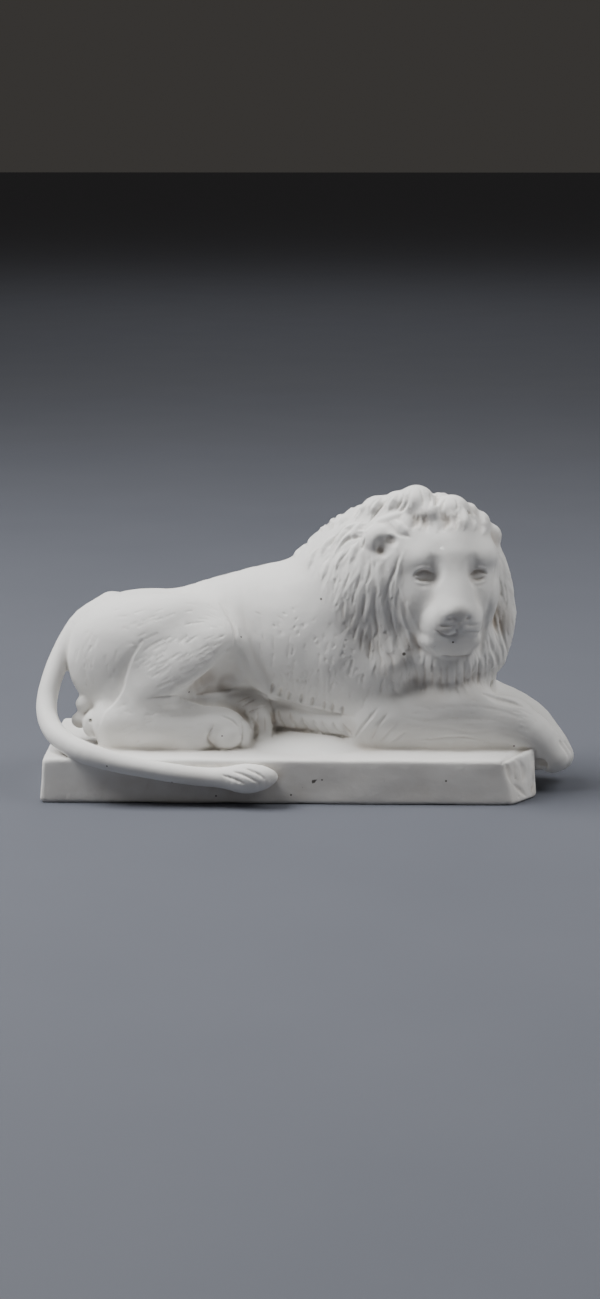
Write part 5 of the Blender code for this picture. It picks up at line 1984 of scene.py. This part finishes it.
@dataclass(frozen=True)
class Bisque:
    """Matt white porcelain without a glaze; its hollows and pinholes are painted with shade, and its brown
    patches are partly stained and partly shade.
    """

    pale: Colour = (0.780, 0.772, 0.750, 1.0)
    # Painted shade: the warmer tint mixed in by the depth of the hollows.
    hollow_shade: Colour = (0.640, 0.600, 0.540, 1.0)
    # The brown of the patches, partly staining and partly painted shade.
    brown: Colour = (0.300, 0.235, 0.175, 1.0)
    # Painted shade: the near black inside the pinholes.
    pinhole_shade: Colour = (0.060, 0.048, 0.040, 1.0)
    roughness: float = 0.62
    specular: float = 0.35
    mottle_scale: float = 55.0
    mottle_relief: float = 0.00025
    # Shares of painted shade: in the hollows, in the brown patches (stronger in hollows, weaker on flats),
    # and inside the pinholes.
    in_hollows: float = 0.6
    in_stains_and_shade: float = 0.9
    on_flats: float = 0.5
    stain_and_shade_mask: Pair = (0.3, 0.65)
    stain_and_shade_strength: Pair = (0.5, 1.2)
    hole_edge: Pair = (0.75, 1.1)
    in_holes: float = 0.9

    def material(self, mottle: bpy.types.NodeTree) -> bpy.types.Material:
        """Builds the material.

        Args:
            mottle: The shared group.

        Returns:
            The material.
        """
        finish = Finish("bisque_porcelain", mottle, self.mottle_scale, self.mottle_relief)
        graph = finish.graph
        sunken, stain_and_shade, offset = graph.noted("hollow_shade_mask"), graph.noted("stain_and_shade"), graph.noted("pinhole", "Vector")
        away = graph.node("ShaderNodeVectorMath", {0: offset}, operation="LENGTH").outputs["Value"]
        # Painted shade: the hollows take the warmer tint.
        hollow = graph.times(sunken, self.in_hollows)
        patchy = graph.spread(finish.mottle.outputs["Mask"], self.stain_and_shade_mask, self.stain_and_shade_strength)
        # Brown patches, partly staining and partly painted shade, mottled and stronger in hollows as painted
        # shade.
        tinted = graph.times(graph.times(stain_and_shade, patchy), graph.math("ADD", sunken, self.on_flats))
        brown = graph.times(tinted, self.in_stains_and_shade, use_clamp=True)
        shaded_and_stained = graph.mixed(brown, graph.mixed(hollow, self.pale, self.hollow_shade), self.brown)
        # Painted shade: near black inside each pinhole.
        inside = graph.spread(away, self.hole_edge, (self.in_holes, 0.0))
        finish.feed("Base Color", graph.mixed(inside, shaded_and_stained, self.pinhole_shade))
        finish.feed("Normal", finish.mottle.outputs["Normal"])
        finish.feed("Roughness", self.roughness)
        finish.feed("Specular IOR Level", self.specular)
        return finish.material


@dataclass(frozen=True)
class Lamp:
    """A soft square light: its name, its place, its side, its watts and where it looks."""

    name: str
    at: Triple
    size: float
    power: float
    to: Triple = VIEW.target

    def add(self) -> None:
        """Puts the light in the scene."""
        data = bpy.data.lights.new(self.name, "AREA")
        data.size = self.size
        data.energy = self.power
        lamp = in_scene(bpy.data.objects.new(self.name, data))
        lamp.location = self.at
        lamp.rotation_euler = (Vector(self.to) - Vector(self.at)).to_track_quat("-Z", "Y").to_euler()


@dataclass(frozen=True)
class Studio:
    """The floor, the surround, the lights and the camera."""

    floor_size: float = 30.0
    floor_dark: Colour = (0.088, 0.095, 0.116, 1.0)
    floor_pale: Colour = (0.100, 0.107, 0.129, 1.0)
    floor_mottle: float = 12.0
    floor_roughness: float = 0.8
    horizon: Colour = (0.045, 0.042, 0.039, 1.0)
    zenith: Colour = (0.105, 0.098, 0.091, 1.0)
    brightening: Pair = (0.02, 0.9)
    lamps: tuple[Lamp, ...] = (
        Lamp("over the left", (-0.70, 0.00, 1.10), 0.75, 29.0),
        Lamp("over the right", (0.70, 0.00, 1.10), 0.75, 9.5),
        Lamp("left", (-1.10, -0.30, 0.60), 0.6, 0.8),
        Lamp("low right", (1.00, -0.05, 0.30), 0.4, 1.1),
        Lamp("behind", (0.0, 2.6, 1.6), 1.2, 9.0, (0.0, 2.6, 0.0)),
    )

    def set_up(self, mottle: bpy.types.NodeTree) -> None:
        """Builds the whole studio.

        Args:
            mottle: The shared group that the floor is mottled by.
        """
        self.floor(mottle)
        self.world()
        for lamp in self.lamps:
            lamp.add()
        self.camera()

    def floor(self, mottle: bpy.types.NodeTree) -> None:
        """A plain pale floor.

        Args:
            mottle: The shared group that it is mottled by.
        """
        bm = bmesh.new()
        bmesh.ops.create_grid(bm, x_segments=1, y_segments=1, size=self.floor_size / 2)
        mesh = bpy.data.meshes.new("floor")
        bm.to_mesh(mesh)
        bm.free()
        floor = in_scene(bpy.data.objects.new("floor", mesh))
        finish = Finish("pale_grey_floor", mottle, self.floor_mottle, 0.0)
        colour = finish.graph.mixed(finish.mottle.outputs["Mask"], self.floor_dark, self.floor_pale)
        finish.feed("Base Color", colour)
        finish.feed("Roughness", self.floor_roughness)
        mesh.materials.append(finish.material)

    def world(self) -> None:
        """A soft surround, bright overhead and dim low down."""
        world = bpy.data.worlds.new("surround")
        bpy.context.scene.world = world
        world.use_nodes = True
        graph = Graph(world.node_tree)
        way = graph.node("ShaderNodeTexCoord").outputs["Generated"]
        height = graph.node("ShaderNodeSeparateXYZ", {"Vector": way}).outputs["Z"]
        low, high = self.brightening
        band = {"Value": height, "From Min": low, "From Max": high}
        share = graph.node("ShaderNodeMapRange", band, interpolation_type="SMOOTHSTEP").outputs["Result"]
        background = world.node_tree.nodes["Background"]
        world.node_tree.links.new(graph.mixed(share, self.horizon, self.zenith), background.inputs["Color"])
        background.inputs["Strength"].default_value = 1.0

    def camera(self) -> None:
        """The camera at the viewing angle."""
        data = bpy.data.cameras.new("camera")
        data.sensor_fit = "VERTICAL"
        data.sensor_height = VIEW.sensor
        data.lens = VIEW.lens
        data.clip_start = 0.01
        camera = in_scene(bpy.data.objects.new("camera", data))
        camera.location = VIEW.eye
        camera.rotation_euler = VIEW.back.to_track_quat("Z", "Y").to_euler()
        bpy.context.scene.camera = camera


def main() -> None:
    """Builds the casting and its studio."""
    logging.basicConfig(level=logging.INFO, format="%(message)s", stream=sys.stdout)
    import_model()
    mottle = mottle_group()
    lion = Lion().build(Bisque().material(mottle))
    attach(lion, "root")
    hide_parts(NODE)
    LOG.info("%s: %d points", lion.name, len(lion.data.vertices))
    Studio().set_up(mottle)


if __name__ == "__main__":
    main()
